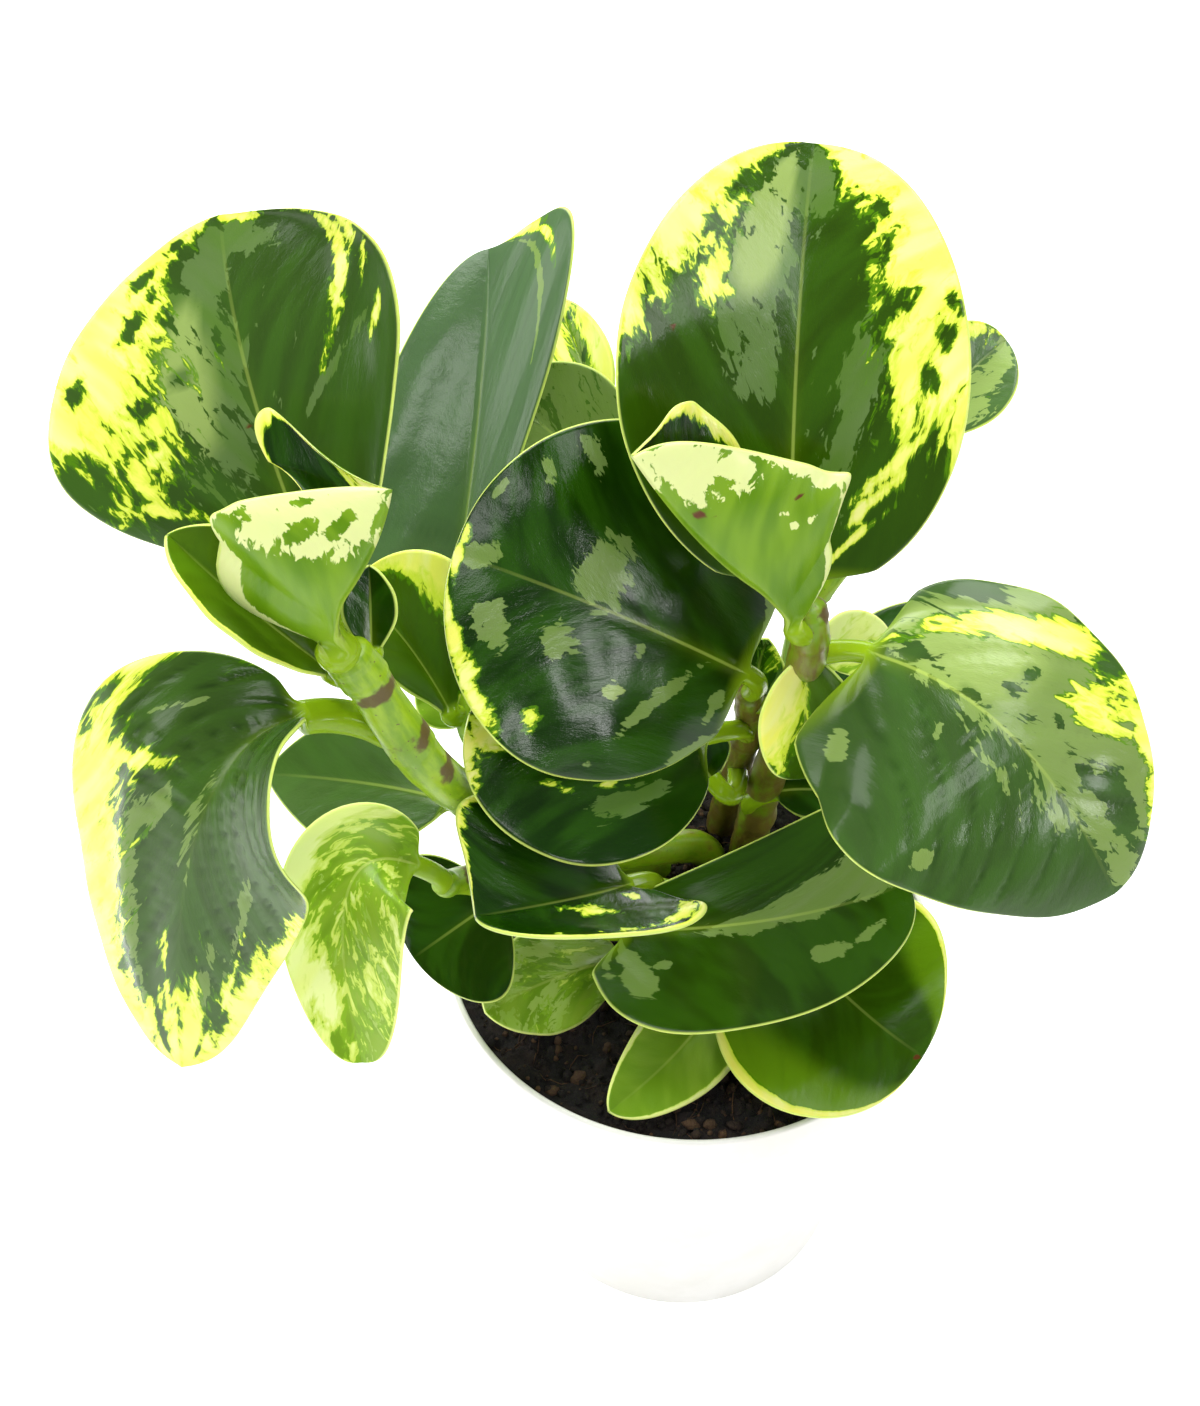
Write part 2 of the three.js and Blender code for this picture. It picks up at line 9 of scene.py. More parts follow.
import bpy
import numpy as np
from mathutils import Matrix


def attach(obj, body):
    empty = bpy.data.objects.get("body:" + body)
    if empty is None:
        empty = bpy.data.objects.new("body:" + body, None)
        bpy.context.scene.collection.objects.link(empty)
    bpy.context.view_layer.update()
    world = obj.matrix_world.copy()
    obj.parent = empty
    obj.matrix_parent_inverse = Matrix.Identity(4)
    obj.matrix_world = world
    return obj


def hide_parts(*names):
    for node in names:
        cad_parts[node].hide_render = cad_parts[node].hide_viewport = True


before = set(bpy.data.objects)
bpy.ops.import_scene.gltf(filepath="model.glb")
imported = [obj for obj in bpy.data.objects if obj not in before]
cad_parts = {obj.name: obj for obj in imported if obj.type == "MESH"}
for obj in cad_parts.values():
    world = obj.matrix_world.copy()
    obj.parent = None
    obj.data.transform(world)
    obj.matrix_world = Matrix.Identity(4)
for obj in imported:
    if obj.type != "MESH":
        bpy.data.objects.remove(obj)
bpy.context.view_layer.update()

LOG = logging.getLogger("peperomia")

Array = np.ndarray
Colour = tuple[float, float, float]
Pair = tuple[float, float]
Point = tuple[float, float, float]
Socket = bpy.types.NodeSocket

MM = 0.001
BODY = "root"
CM = 0.1
NO_TRIANGLES = np.zeros((0, 3), int)

# On a leaf: rings along the blade, points across it and rings along the stalk, steps in which
# a section is summed, and how far in from the margin its distance is kept, in millimetres
FINE_GRID = (104, 49, 16)
PLAIN_GRID = (64, 33, 12)
SECTION_STEPS = 24
EDGE_REACH = 5.0


# Small sums on whole arrays

def display(red: float, green: float, blue: float) -> Colour:
    """Linear colour of display values.

    Args:
        red, green, blue: values from 0 to 255.

    Returns:
        The colour, each part from 0 to 1.
    """
    values = np.array([red, green, blue]) / 255.0
    linear = np.where(values <= 0.04045, values / 12.92, ((values + 0.055) / 1.055) ** 2.4)
    return tuple(float(value) for value in linear)


def mix(start: Array | float, end: Array | float, share: Array | float) -> Array | float:
    """Straight blend from start to end."""
    return start + (end - start) * share


def smooth(share: Array) -> Array:
    """Soft step from 0 to 1 as share goes from 0 to 1."""
    held = np.clip(share, 0.0, 1.0)
    return held * held * (3.0 - 2.0 * held)


def bell(distance: Array, spread: float) -> Array:
    """Bell curve, 1 at distance 0 and small past spread."""
    return np.exp(-((distance / spread) ** 2))


def unit(vectors: Array) -> Array:
    """The same directions with length 1, along the last axis."""
    return vectors / np.linalg.norm(vectors, axis=-1, keepdims=True)


def square_to(vectors: Array, along: Array) -> Array:
    """Unit vectors nearest to the given ones that stand square to along."""
    return unit(vectors - (vectors * along).sum(-1, keepdims=True) * along)


def sine_field(x: Array, y: Array, spacing: float, seed: int, waves: int = 9) -> Array:
    """Smooth random hills over a plane.

    The height is a sum of equal sine waves whose directions, lengths and phases are drawn
    from the seed, divided by the root of half their count.

    Args:
        x, y: places on the plane.
        spacing: usual distance between two hills.
        seed: seed of the draw.
        waves: number of waves.

    Returns:
        Heights of about -2 to 2.
    """
    draw = np.random.default_rng(seed)
    turn = draw.uniform(0.0, 2.0 * np.pi, waves)
    length = spacing * draw.uniform(0.7, 1.5, waves)
    phase = draw.uniform(0.0, 2.0 * np.pi, waves)
    run = x[..., None] * np.cos(turn) + y[..., None] * np.sin(turn)
    return np.sin(2.0 * np.pi * run / length + phase).sum(-1) / math.sqrt(waves / 2.0)


# Meshes from grids of points

@dataclass
class Skin:
    """A closed surface as arrays: points in millimetres, faces, and values kept per point."""

    points: Array
    quads: Array
    triangles: Array
    values: dict[str, Array]
    plane: Array | None = None

    def piece(self, name: str, material: bpy.types.Material) -> bpy.types.Object:
        """Makes the Blender object.

        Args:
            name: name of the object and its mesh.
            material: its only material.

        Returns:
            The object, at the origin, in metres, shaded smooth.
        """
        mesh = bpy.data.meshes.new(name)
        corners = np.concatenate([self.quads.ravel(), self.triangles.ravel()]).astype(np.int32)
        sizes = np.concatenate([np.full(len(self.quads), 4), np.full(len(self.triangles), 3)])
        starts = np.concatenate([[0], np.cumsum(sizes)[:-1]]).astype(np.int32)
        mesh.vertices.add(len(self.points))
        mesh.vertices.foreach_set("co", (self.points * MM).astype(np.float32).ravel())
        mesh.loops.add(len(corners))
        mesh.loops.foreach_set("vertex_index", corners)
        mesh.polygons.add(len(sizes))
        mesh.polygons.foreach_set("loop_start", starts)
        for label, numbers in self.values.items():
            layer = mesh.attributes.new(label, "FLOAT", "POINT")
            layer.data.foreach_set("value", numbers.astype(np.float32).ravel())
        if self.plane is not None:
            layer = mesh.uv_layers.new(name="blade")
            layer.data.foreach_set("uv", self.plane[corners].astype(np.float32).ravel())
        mesh.update(calc_edges=True)
        mesh.validate()
        mesh.shade_smooth()
        mesh.materials.append(material)
        made = bpy.data.objects.new(name, mesh)
        bpy.context.scene.collection.objects.link(made)
        return made


def ring_faces(rings: int, around: int) -> Array:
    """Four-cornered faces between neighbouring rings, each ring joined to itself.

    Args:
        rings: number of rings, whose points follow one another.
        around: points on each ring.

    Returns:
        Corner numbers, one row a face.
    """
    row = np.arange(rings - 1)[:, None] * around
    here = np.arange(around)[None, :]
    following = (here + 1) % around
    corners = [row + here, row + following, row + around + following, row + around + here]
    return np.stack(np.broadcast_arrays(*corners), -1).reshape(-1, 4)


def strip_faces(around: int, first: int, flipped: bool) -> Array:
    """Closes the end ring of a flat form with a strip between its upper and lower halves.

    Args:
        around: points on the ring, the first half of them above.
        first: number of the ring's first point.
        flipped: True at the form's start.

    Returns:
        Corner numbers, one row a face.
    """
    upper = np.arange(around // 2 - 1)
    lower = around - 1 - upper
    faces = first + np.stack([upper, upper + 1, lower - 1, lower], -1)
    return faces[:, ::-1] if flipped else faces


def tube_faces(rings: int, around: int) -> Array:
    """Faces of a tube of rings, with a strip across each end.

    Args:
        rings: number of rings.
        around: points on each ring.

    Returns:
        Corner numbers, one row a face.
    """
    last = (rings - 1) * around
    ends = [strip_faces(around, 0, True), strip_faces(around, last, False)]
    return np.concatenate([ring_faces(rings, around), *ends])


def pole_faces(rings: int, around: int) -> Array:
    """Triangles from the first ring to one pole and from the last to another.

    Args:
        rings: number of rings, whose points the two poles follow.
        around: points on each ring.

    Returns:
        Corner numbers, one row a face.
    """
    count = rings * around
    last = count - around
    here = np.arange(around)
    following = (here + 1) % around
    low = np.stack([np.full(around, count), following, here], -1)
    high = np.stack([last + here, last + following, np.full(around, count + 1)], -1)
    return np.concatenate([low, high])


def ring_angles(count: int) -> Array:
    """Angles of a ring's points, from the left over the top and back below."""
    return np.pi - 2.0 * np.pi * (np.arange(count) + 0.5) / count


def round_rings(centre: Array, across: Array, up: Array, radius: Array, turn: Array) -> Array:
    """Round rings along a path: the radius times the turn's cosine across and its sine up.

    Args:
        centre: middle of each ring.
        across, up: unit directions of each ring.
        radius, turn: radius and angle of each point, one row a ring.

    Returns:
        Points of the rings.
    """
    side = across[:, None, :] * np.cos(turn)[..., None]
    rise = up[:, None, :] * np.sin(turn)[..., None]
    return centre[:, None, :] + radius[..., None] * (side + rise)


def turned(profile: Array, sectors: int) -> tuple[Array, Array, Array]:
    """Body of revolution about Z: each profile point becomes a ring, the end ones a pole.

    Args:
        profile: radius and height rows, from a pole on the axis to another.
        sectors: points on a ring.

    Returns:
        Points, four-cornered faces and the poles' triangles.
    """
    angle = 2.0 * np.pi * np.arange(sectors) / sectors
    inner = profile[1:-1]
    rings = np.stack(
        np.broadcast_arrays(
            inner[:, :1] * np.cos(angle), inner[:, :1] * np.sin(angle), inner[:, 1:]
        ), -1,
    )
    poles = np.array([[0.0, 0.0, profile[0, 1]], [0.0, 0.0, profile[-1, 1]]])
    points = np.concatenate([rings.reshape(-1, 3), poles])
    return points, ring_faces(len(inner), sectors), pole_faces(len(inner), sectors)


def arc(centre: Pair, radius: float, start: float, end: float, steps: int) -> Array:
    """Points on a circle's arc in a profile, angles in degrees from the outward direction."""
    angle = np.radians(np.linspace(start, end, steps))
    return np.stack([centre[0] + radius * np.cos(angle), centre[1] + radius * np.sin(angle)], -1)


def settle(piece: bpy.types.Object, slot: str, *nodes: str) -> None:
    """Lets a finished piece ride on the plant's body and stand for its frame nodes.

    Args:
        piece: the finished object.
        slot: the record's material slot for it; not used.
        nodes: the frame's nodes that it replaces.
    """
    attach(piece, BODY)
    if nodes:
        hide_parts(*nodes)
    LOG.info("%s: %d faces", piece.name, len(piece.data.polygons))


# Shader sheets

class Sheet:
    """Adds and joins nodes in one shader tree."""

    def __init__(self, tree: bpy.types.NodeTree) -> None:
        """Keeps the tree."""
        self.tree = tree

    def fill(self, node: bpy.types.Node, inputs: dict) -> None:
        """Joins sockets to a node's inputs or sets values there.

        Args:
            node: the node.
            inputs: a socket to join or a value, for each input by name or number.
        """
        for key, value in inputs.items():
            entry = node.inputs[key]
            if isinstance(value, Socket):
                self.tree.links.new(value, entry)
            elif isinstance(value, tuple) and len(entry.default_value) == 4:
                entry.default_value = (*value, 1.0)
            else:
                entry.default_value = value

    def add(self, kind: str, inputs: dict | None = None, **settings: object) -> bpy.types.Node:
        """Adds a node.

        Args:
            kind: the node's class name without its leading ShaderNode.
            inputs: a socket to join or a value, for each input by name or number.
            settings: the node's own properties.

        Returns:
            The node.
        """
        node = self.tree.nodes.new("ShaderNode" + kind)
        for name, value in settings.items():
            setattr(node, name, value)
        self.fill(node, inputs or {})
        return node

    def sum(self, operation: str, *terms: object) -> Socket:
        """Output of a Math node."""
        return self.add("Math", dict(enumerate(terms)), operation=operation).outputs[0]

    def vector(self, operation: str, *terms: object) -> Socket:
        """Output of a Vector Math node."""
        return self.add("VectorMath", dict(enumerate(terms)), operation=operation).outputs[0]

    def blend(self, share: object, first: object, second: object) -> Socket:
        """Colour between first and second by share."""
        node = self.add("Mix", {0: share, 6: first, 7: second}, data_type="RGBA")
        return node.outputs[2]

    def step(self, value: object, low: object, high: object, top: object = 1.0) -> Socket:
        """Adds a soft step.

        Args:
            value: what is stepped.
            low, high: where the step starts and ends.
            top: its height.

        Returns:
            0 up to low and top from high on.
        """
        return self.add(
            "MapRange", {0: value, 1: low, 2: high, 3: 0.0, 4: top}, interpolation_type="SMOOTHSTEP",
        ).outputs[0]

    def value(self, name: str) -> Socket:
        """Number kept on the mesh's points under that name."""
        return self.add("Attribute", attribute_name=name).outputs["Fac"]

    def noise(self, place: Socket, scale: object, detail: float = 2.0, rough: float = 0.5) -> Socket:
        """Noise of about 0.25 to 0.75."""
        inputs = {"Vector": place, "Scale": scale, "Detail": detail, "Roughness": rough}
        return self.add("TexNoise", inputs).outputs["Fac"]

    def group(self, tree: bpy.types.NodeTree, inputs: dict) -> bpy.types.Node:
        """Places a node group.

        Args:
            tree: the group.
            inputs: its own sockets and values.

        Returns:
            The group's node.
        """
        node = self.tree.nodes.new("ShaderNodeGroup")
        node.node_tree = tree
        self.fill(node, inputs)
        return node

    def dress(self, shader: bpy.types.Node, colour: Socket, rough: Socket, bump: dict) -> None:
        """Joins the three things that change over a surface to a Principled node.

        Args:
            shader: the node.
            colour, rough: the surface's colour and roughness.
            bump: the Bump node's Height, Strength and Distance, the last in metres.
        """
        normal = self.add("Bump", bump).outputs[0]
        self.fill(shader, {"Base Color": colour, "Roughness": rough, "Normal": normal})


def new_group(
    name: str, inputs: dict[str, str], outputs: dict[str, str],
) -> tuple[Sheet, bpy.types.Node, bpy.types.Node]:
    """Starts a shader node group.

    Args:
        name: its name.
        inputs: kind of each input socket, Float, Vector or Color.
        outputs: kind of each output socket.

    Returns:
        The sheet to build it on, and the group's input node and output node.
    """
    tree = bpy.data.node_groups.new(name, "ShaderNodeTree")
    for direction, sockets in (("INPUT", inputs), ("OUTPUT", outputs)):
        for label, kind in sockets.items():
            tree.interface.new_socket(label, in_out=direction, socket_type="NodeSocket" + kind)
    return Sheet(tree), tree.nodes.new("NodeGroupInput"), tree.nodes.new("NodeGroupOutput")


def new_material(name: str) -> tuple[bpy.types.Material, Sheet, bpy.types.Node]:
    """Starts a material.

    Args:
        name: its name.

    Returns:
        The material, its sheet and its Principled node, already joined to the output.
    """
    material = bpy.data.materials.new(name)
    material.use_nodes = True
    sheet = Sheet(material.node_tree)
    return material, sheet, material.node_tree.nodes["Principled BSDF"]


def blotch_group() -> bpy.types.NodeTree:
    """Ragged blotches that follow the veins.

    The coordinates are first pushed about by a slow noise, so that the edges run like water.
    Coarse and fine noise, both drawn out along the veins, are added to a field that is above
    nought inside a blotch. Where the sum passes nought the blotch starts. A narrow fringe starts
    a little outside it, and its depth grows inside it.

    Returns:
        The group.
    """
    sheet, start, end = new_group(
        "vein_blotches",
        {"Place": "Vector", "Seed": "Float", "Field": "Float", "Coarse": "Float", "Fine": "Float"},
        {"Blotch": "Float", "Fringe": "Float", "Depth": "Float"},
    )
    swirl = sheet.add("TexNoise", {"Vector": start.outputs["Place"], "Scale": 2.4, "Detail": 2.0})
    push = sheet.vector("SUBTRACT", swirl.outputs["Color"], (0.5, 0.5, 0.5))
    push = sheet.vector("MULTIPLY", push, (0.5, 0.5, 0.5))
    apart = sheet.add("SeparateXYZ", {0: sheet.vector("ADD", start.outputs["Place"], push)})
    total = start.outputs["Field"]
    for across, along, depth, name in ((1.1, 1.7, 3.0, "Coarse"), (3.8, 6.4, 4.0, "Fine")):
        place = sheet.add(
            "CombineXYZ",
            {
                0: sheet.sum("MULTIPLY", apart.outputs[0], across),
                1: sheet.sum("MULTIPLY", apart.outputs[1], along),
                2: sheet.sum("MULTIPLY_ADD", start.outputs["Seed"], 7.3, 0.5),
            },
        ).outputs[0]
        level = sheet.sum("SUBTRACT", sheet.noise(place, 1.0, depth, 0.6), 0.5)
        swing = sheet.sum("MULTIPLY", sheet.sum("MULTIPLY", level, 4.0), start.outputs[name])
        total = sheet.sum("ADD", total, swing)
    sheet.fill(end, {
        "Blotch": sheet.step(total, -0.04, 0.04),
        "Fringe": sheet.step(total, -0.2, -0.1),
        "Depth": sheet.step(total, 0.0, 0.42),
    })
    return sheet.tree


def skin_group() -> bpy.types.NodeTree:
    """Fine living skin: a slow tint, small pores and their height, on any coordinates.

    Returns:
        The group.
    """
    sheet, start, end = new_group(
        "living_skin", {"Place": "Vector", "Seed": "Float"}, {"Tint": "Float", "Height": "Float"},
    )
    shift = sheet.add("CombineXYZ", {2: start.outputs["Seed"]}).outputs[0]
    place = sheet.vector("ADD", start.outputs["Place"], shift)
    drawn = sheet.vector("MULTIPLY", place, (1.1, 0.6, 1.0))
    coarse = sheet.noise(place, 3.0, 2.0)
    pores = sheet.noise(place, 26.0, 2.0)
    height = sheet.sum("ADD", coarse, sheet.sum("MULTIPLY", pores, 0.25))
    sheet.fill(end, {"Tint": sheet.noise(drawn, 1.0, 2.0), "Height": height})
    return sheet.tree


def grain_group() -> bpy.types.NodeTree:
    """Earthy or moulded grain: a broad share and a fine height on Object coordinates.

    Returns:
        The group.
    """
    sheet, start, end = new_group(
        "grain", {"Place": "Vector", "Broad": "Float", "Fine": "Float"},
        {"Share": "Float", "Height": "Float"},
    )
    place = start.outputs["Place"]
    sheet.fill(end, {
        "Share": sheet.noise(place, start.outputs["Broad"], 4.0, 0.6),
        "Height": sheet.noise(place, start.outputs["Fine"], 3.0, 0.7),
    })
    return sheet.tree


# Finishes

@dataclass(frozen=True)
class Effects:
    """The node groups that several finishes share."""

    blotches: bpy.types.NodeTree
    skin: bpy.types.NodeTree
    grain: bpy.types.NodeTree


@dataclass(frozen=True)
class LeafFinish:
    """Waxy variegated blade: its colours and how glossy it is."""

    name: str
    deep: Colour
    green: Colour
    sage: Colour
    grey_sage: Colour
    fringe: Colour
    yellow: Colour
    cream: Colour
    butter: Colour
    under: Colour
    under_deep: Colour
    under_cream: Colour
    # Line: pale colour of the midrib, and of the painted highlight along the rounded margin
    line: Colour
    stalk: Colour
    fresh: Colour = display(104, 146, 18)
    wash: Colour = display(156, 180, 98)
    grey: Colour = display(84, 112, 76)
    scar: Colour = display(96, 52, 24)
    gloss: float = 0.17
    ragged: Pair = (0.5, 0.3)

    def upper(
        self, sheet: Sheet, effects: Effects, place: Socket, tint: Socket,
    ) -> tuple[Socket, Socket]:
        """Colours the upper face.

        Args:
            sheet: the material's sheet.
            effects: the shared node groups.
            place: the blade's own coordinates.
            tint: slow change of tone.

        Returns:
            The upper face's colour and the cream blotches' mask.
        """
        seed = sheet.value("seed")
        ragged = sheet.value("ragged")
        swings = {
            "Place": place, "Coarse": sheet.sum("MULTIPLY", ragged, self.ragged[0]),
            "Fine": sheet.sum("MULTIPLY", ragged, self.ragged[1]),
        }
        cream = sheet.group(effects.blotches, {**swings, "Seed": seed, "Field": sheet.value("cream")})
        shift = sheet.sum("ADD", seed, 3.7)
        sage = sheet.group(effects.blotches, {**swings, "Seed": shift, "Field": sheet.value("sage")})
        share = sheet.step(tint, 0.36, 0.64)
        colour = sheet.blend(share, self.deep, self.green)
        fresh = sheet.value("fresh")
        colour = sheet.blend(fresh, colour, self.fresh)
        # Grey-green laid evenly by each leaf's grey share: on the upper back leaf this is a painted
        # sheen of reflected light
        colour = sheet.blend(sheet.value("grey"), colour, self.grey)
        # Painted shade: deep green laid into the grooves over the side veins
        colour = sheet.blend(sheet.sum("MULTIPLY", sheet.value("groove"), 0.4), colour, self.deep)
        pale = sheet.blend(share, self.grey_sage, self.sage)
        pale = sheet.blend(sheet.value("wash"), pale, self.wash)
        colour = sheet.blend(sheet.sum("MULTIPLY", sage.outputs["Blotch"], 0.85), colour, pale)
        fringe = sheet.sum("MULTIPLY", cream.outputs["Fringe"], 0.75)
        colour = sheet.blend(fringe, colour, self.fringe)
        light = sheet.blend(share, self.cream, self.butter)
        light = sheet.blend(cream.outputs["Depth"], self.yellow, light)
        colour = sheet.blend(cream.outputs["Blotch"], colour, light)
        return colour, cream.outputs["Blotch"]

    def material(self, effects: Effects) -> bpy.types.Material:
        """Builds the material.

        Args:
            effects: the shared node groups.

        Returns:
            The material.
        """
        material, sheet, shader = new_material(self.name)
        place = sheet.add("UVMap", uv_map="blade").outputs[0]
        skin = sheet.group(effects.skin, {"Place": place, "Seed": sheet.value("seed")})
        tint = skin.outputs["Tint"]
        colour, cream = self.upper(sheet, effects, place, tint)
        under = sheet.blend(sheet.step(tint, 0.35, 0.65), self.under_deep, self.under)
        under = sheet.blend(sheet.sum("MULTIPLY", cream, 0.8), under, self.under_cream)
        underside = sheet.value("underside")
        colour = sheet.blend(underside, colour, under)
        across = sheet.sum("ABSOLUTE", sheet.add("SeparateXYZ", {0: place}).outputs[1])
        rib = sheet.sum("MULTIPLY", sheet.step(across, 0.05, 0.015), sheet.value("midrib"))
        colour = sheet.blend(rib, colour, self.line)
        colour = sheet.blend(sheet.step(sheet.value("scar"), -0.1, 0.35), colour, self.scar)
        colour = sheet.blend(sheet.value("stalk"), colour, self.stalk)
        # Painted highlight: the pale line colour laid along the margin, where the rounded edge
        # catches light
        margin = sheet.sum("MULTIPLY", sheet.step(sheet.value("edge"), 0.55, 0.15), 0.8)
        colour = sheet.blend(margin, colour, self.line)
        rough = sheet.sum("MULTIPLY_ADD", tint, 0.12, self.gloss - 0.06)
        rough = sheet.sum("ADD", rough, sheet.sum("MULTIPLY", underside, 0.14))
        bump = {"Height": skin.outputs["Height"], "Strength": 0.35, "Distance": 0.0004}
        sheet.dress(shader, colour, rough, bump)
        sheet.fill(shader, {
            "Subsurface Weight": 0.12, "Subsurface Radius": (0.6, 1.0, 0.2),
            "Subsurface Scale": 0.0012, "Specular IOR Level": 0.22,
            "Coat Weight": 0.1, "Coat Roughness": 0.14,
        })
        return material


LEAF_FINISH = LeafFinish(
    name="variegated_leaf",
    deep=display(16, 48, 0), green=display(34, 74, 4),
    sage=display(88, 122, 48), grey_sage=display(98, 126, 68),
    fringe=display(84, 136, 4), yellow=display(210, 228, 62), cream=display(240, 240, 104),
    butter=display(240, 242, 146),
    under=display(120, 160, 26), under_deep=display(92, 136, 10), under_cream=display(240, 246, 172),
    line=display(206, 226, 110), stalk=display(138, 172, 20),
)

PALE_LEAF_FINISH = LeafFinish(
    name="young_pale_leaf",
    deep=display(110, 150, 22), green=display(140, 174, 46),
    sage=display(156, 190, 74), grey_sage=display(170, 196, 96),
    fringe=display(132, 176, 30), yellow=display(196, 218, 84), cream=display(226, 238, 136),
    butter=display(228, 238, 160),
    under=display(160, 196, 64), under_deep=display(132, 174, 36), under_cream=display(230, 242, 140),
    line=display(230, 242, 140), stalk=display(138, 172, 20), gloss=0.36,
)


@dataclass(frozen=True)
class StemFinish:
    """Fleshy stem: yellow-green, flushed purple-brown in places, with brown scars at its joints."""

    name: str = "fleshy_stem"
    green: Colour = display(112, 152, 4)
    light: Colour = display(154, 188, 22)
    flush: Colour = display(98, 58, 38)
    scar: Colour = display(84, 44, 32)

    def material(self, effects: Effects) -> bpy.types.Material:
        """Builds the material.

        Args:
            effects: the shared node groups.

        Returns:
            The material.
        """
        material, sheet, shader = new_material(self.name)
        axes = [sheet.value(name) for name in ("ring_x", "ring_y", "along")]
        around = sheet.add("CombineXYZ", dict(enumerate(axes))).outputs[0]
        skin = sheet.group(effects.skin, {"Place": around, "Seed": sheet.value("seed")})
        drawn = sheet.vector("MULTIPLY", around, (4.0, 4.0, 1.1))
        streak = sheet.noise(drawn, 1.0, 3.0, 0.6)
        colour = sheet.blend(sheet.step(streak, 0.3, 0.7), self.green, self.light)
        patch = sheet.noise(around, 2.6, 3.0, 0.6)
        reach = sheet.sum("MULTIPLY", sheet.sum("SUBTRACT", patch, 0.5), 1.6)
        spread = sheet.sum("MULTIPLY", sheet.sum("SUBTRACT", streak, 0.5), 1.6)
        flushed = sheet.step(sheet.sum("ADD", sheet.value("flush"), spread), 0.25, 0.95, 0.85)
        colour = sheet.blend(flushed, colour, self.flush)
        worn = sheet.step(sheet.sum("ADD", sheet.value("joint"), reach), 0.5, 0.85, 0.85)
        colour = sheet.blend(worn, colour, self.scar)
        dots = sheet.step(sheet.noise(around, 13.0, 1.0), 0.7, 0.76, 0.7)
        colour = sheet.blend(dots, colour, self.scar)
        rough = sheet.sum("MULTIPLY_ADD", worn, 0.25, 0.36)
        bump = {"Height": skin.outputs["Height"], "Strength": 0.4, "Distance": 0.0004}
        sheet.dress(shader, colour, rough, bump)
        sheet.fill(shader, {
            "Subsurface Weight": 0.1, "Subsurface Radius": (0.8, 1.0, 0.2),
            "Subsurface Scale": 0.002,
        })
        return material


@dataclass(frozen=True)
class SoilFinish:
    """Moist potting soil, nearly black, with browner bits."""

    name: str = "potting_soil"
    black: Colour = display(13, 9, 8)
    brown: Colour = display(34, 23, 18)
    straw: Colour = display(100, 72, 46)

    def material(self, effects: Effects) -> bpy.types.Material:
        """Builds the material.

        Args:
            effects: the shared node groups.

        Returns:
            The material.
        """
        material, sheet, shader = new_material(self.name)
        place = sheet.add("TexCoord").outputs["Object"]
        grain = sheet.group(effects.grain, {"Place": place, "Broad": 190.0, "Fine": 1100.0})
        colour = sheet.blend(sheet.step(grain.outputs["Share"], 0.4, 0.66), self.black, self.brown)
        colour = sheet.blend(sheet.value("straw"), colour, self.straw)
        height = grain.outputs["Height"]
        rough = sheet.sum("MULTIPLY_ADD", height, 0.3, 0.7)
        sheet.dress(shader, colour, rough, {"Height": height, "Strength": 0.8, "Distance": 0.0012})
        return material


@dataclass(frozen=True)
class PotFinish:
    """Off-white moulded plastic, a little soiled inside above the soil."""

    name: str = "pot_plastic"
    white: Colour = display(236, 235, 231)
    shade: Colour = display(228, 227, 221)
    dirt: Colour = display(150, 132, 108)

    def material(self, effects: Effects) -> bpy.types.Material:
        """Builds the material.

        Args:
            effects: the shared node groups.

        Returns:
            The material.
        """
        material, sheet, shader = new_material(self.name)
        place = sheet.add("TexCoord").outputs["Object"]
        grain = sheet.group(effects.grain, {"Place": place, "Broad": 45.0, "Fine": 1500.0})
        colour = sheet.blend(sheet.step(grain.outputs["Share"], 0.35, 0.65), self.shade, self.white)
        spots = sheet.noise(place, 420.0, 3.0, 0.7)
        soiled = sheet.sum("MULTIPLY", sheet.value("inside"), sheet.step(spots, 0.5, 0.62, 0.8))
        colour = sheet.blend(soiled, colour, self.dirt)
        rough = sheet.sum("MULTIPLY_ADD", grain.outputs["Share"], 0.16, 0.3)
        bump = {"Height": grain.outputs["Height"], "Strength": 0.12, "Distance": 0.0003}
        sheet.dress(shader, colour, rough, bump)
        return material


# Pot and soil

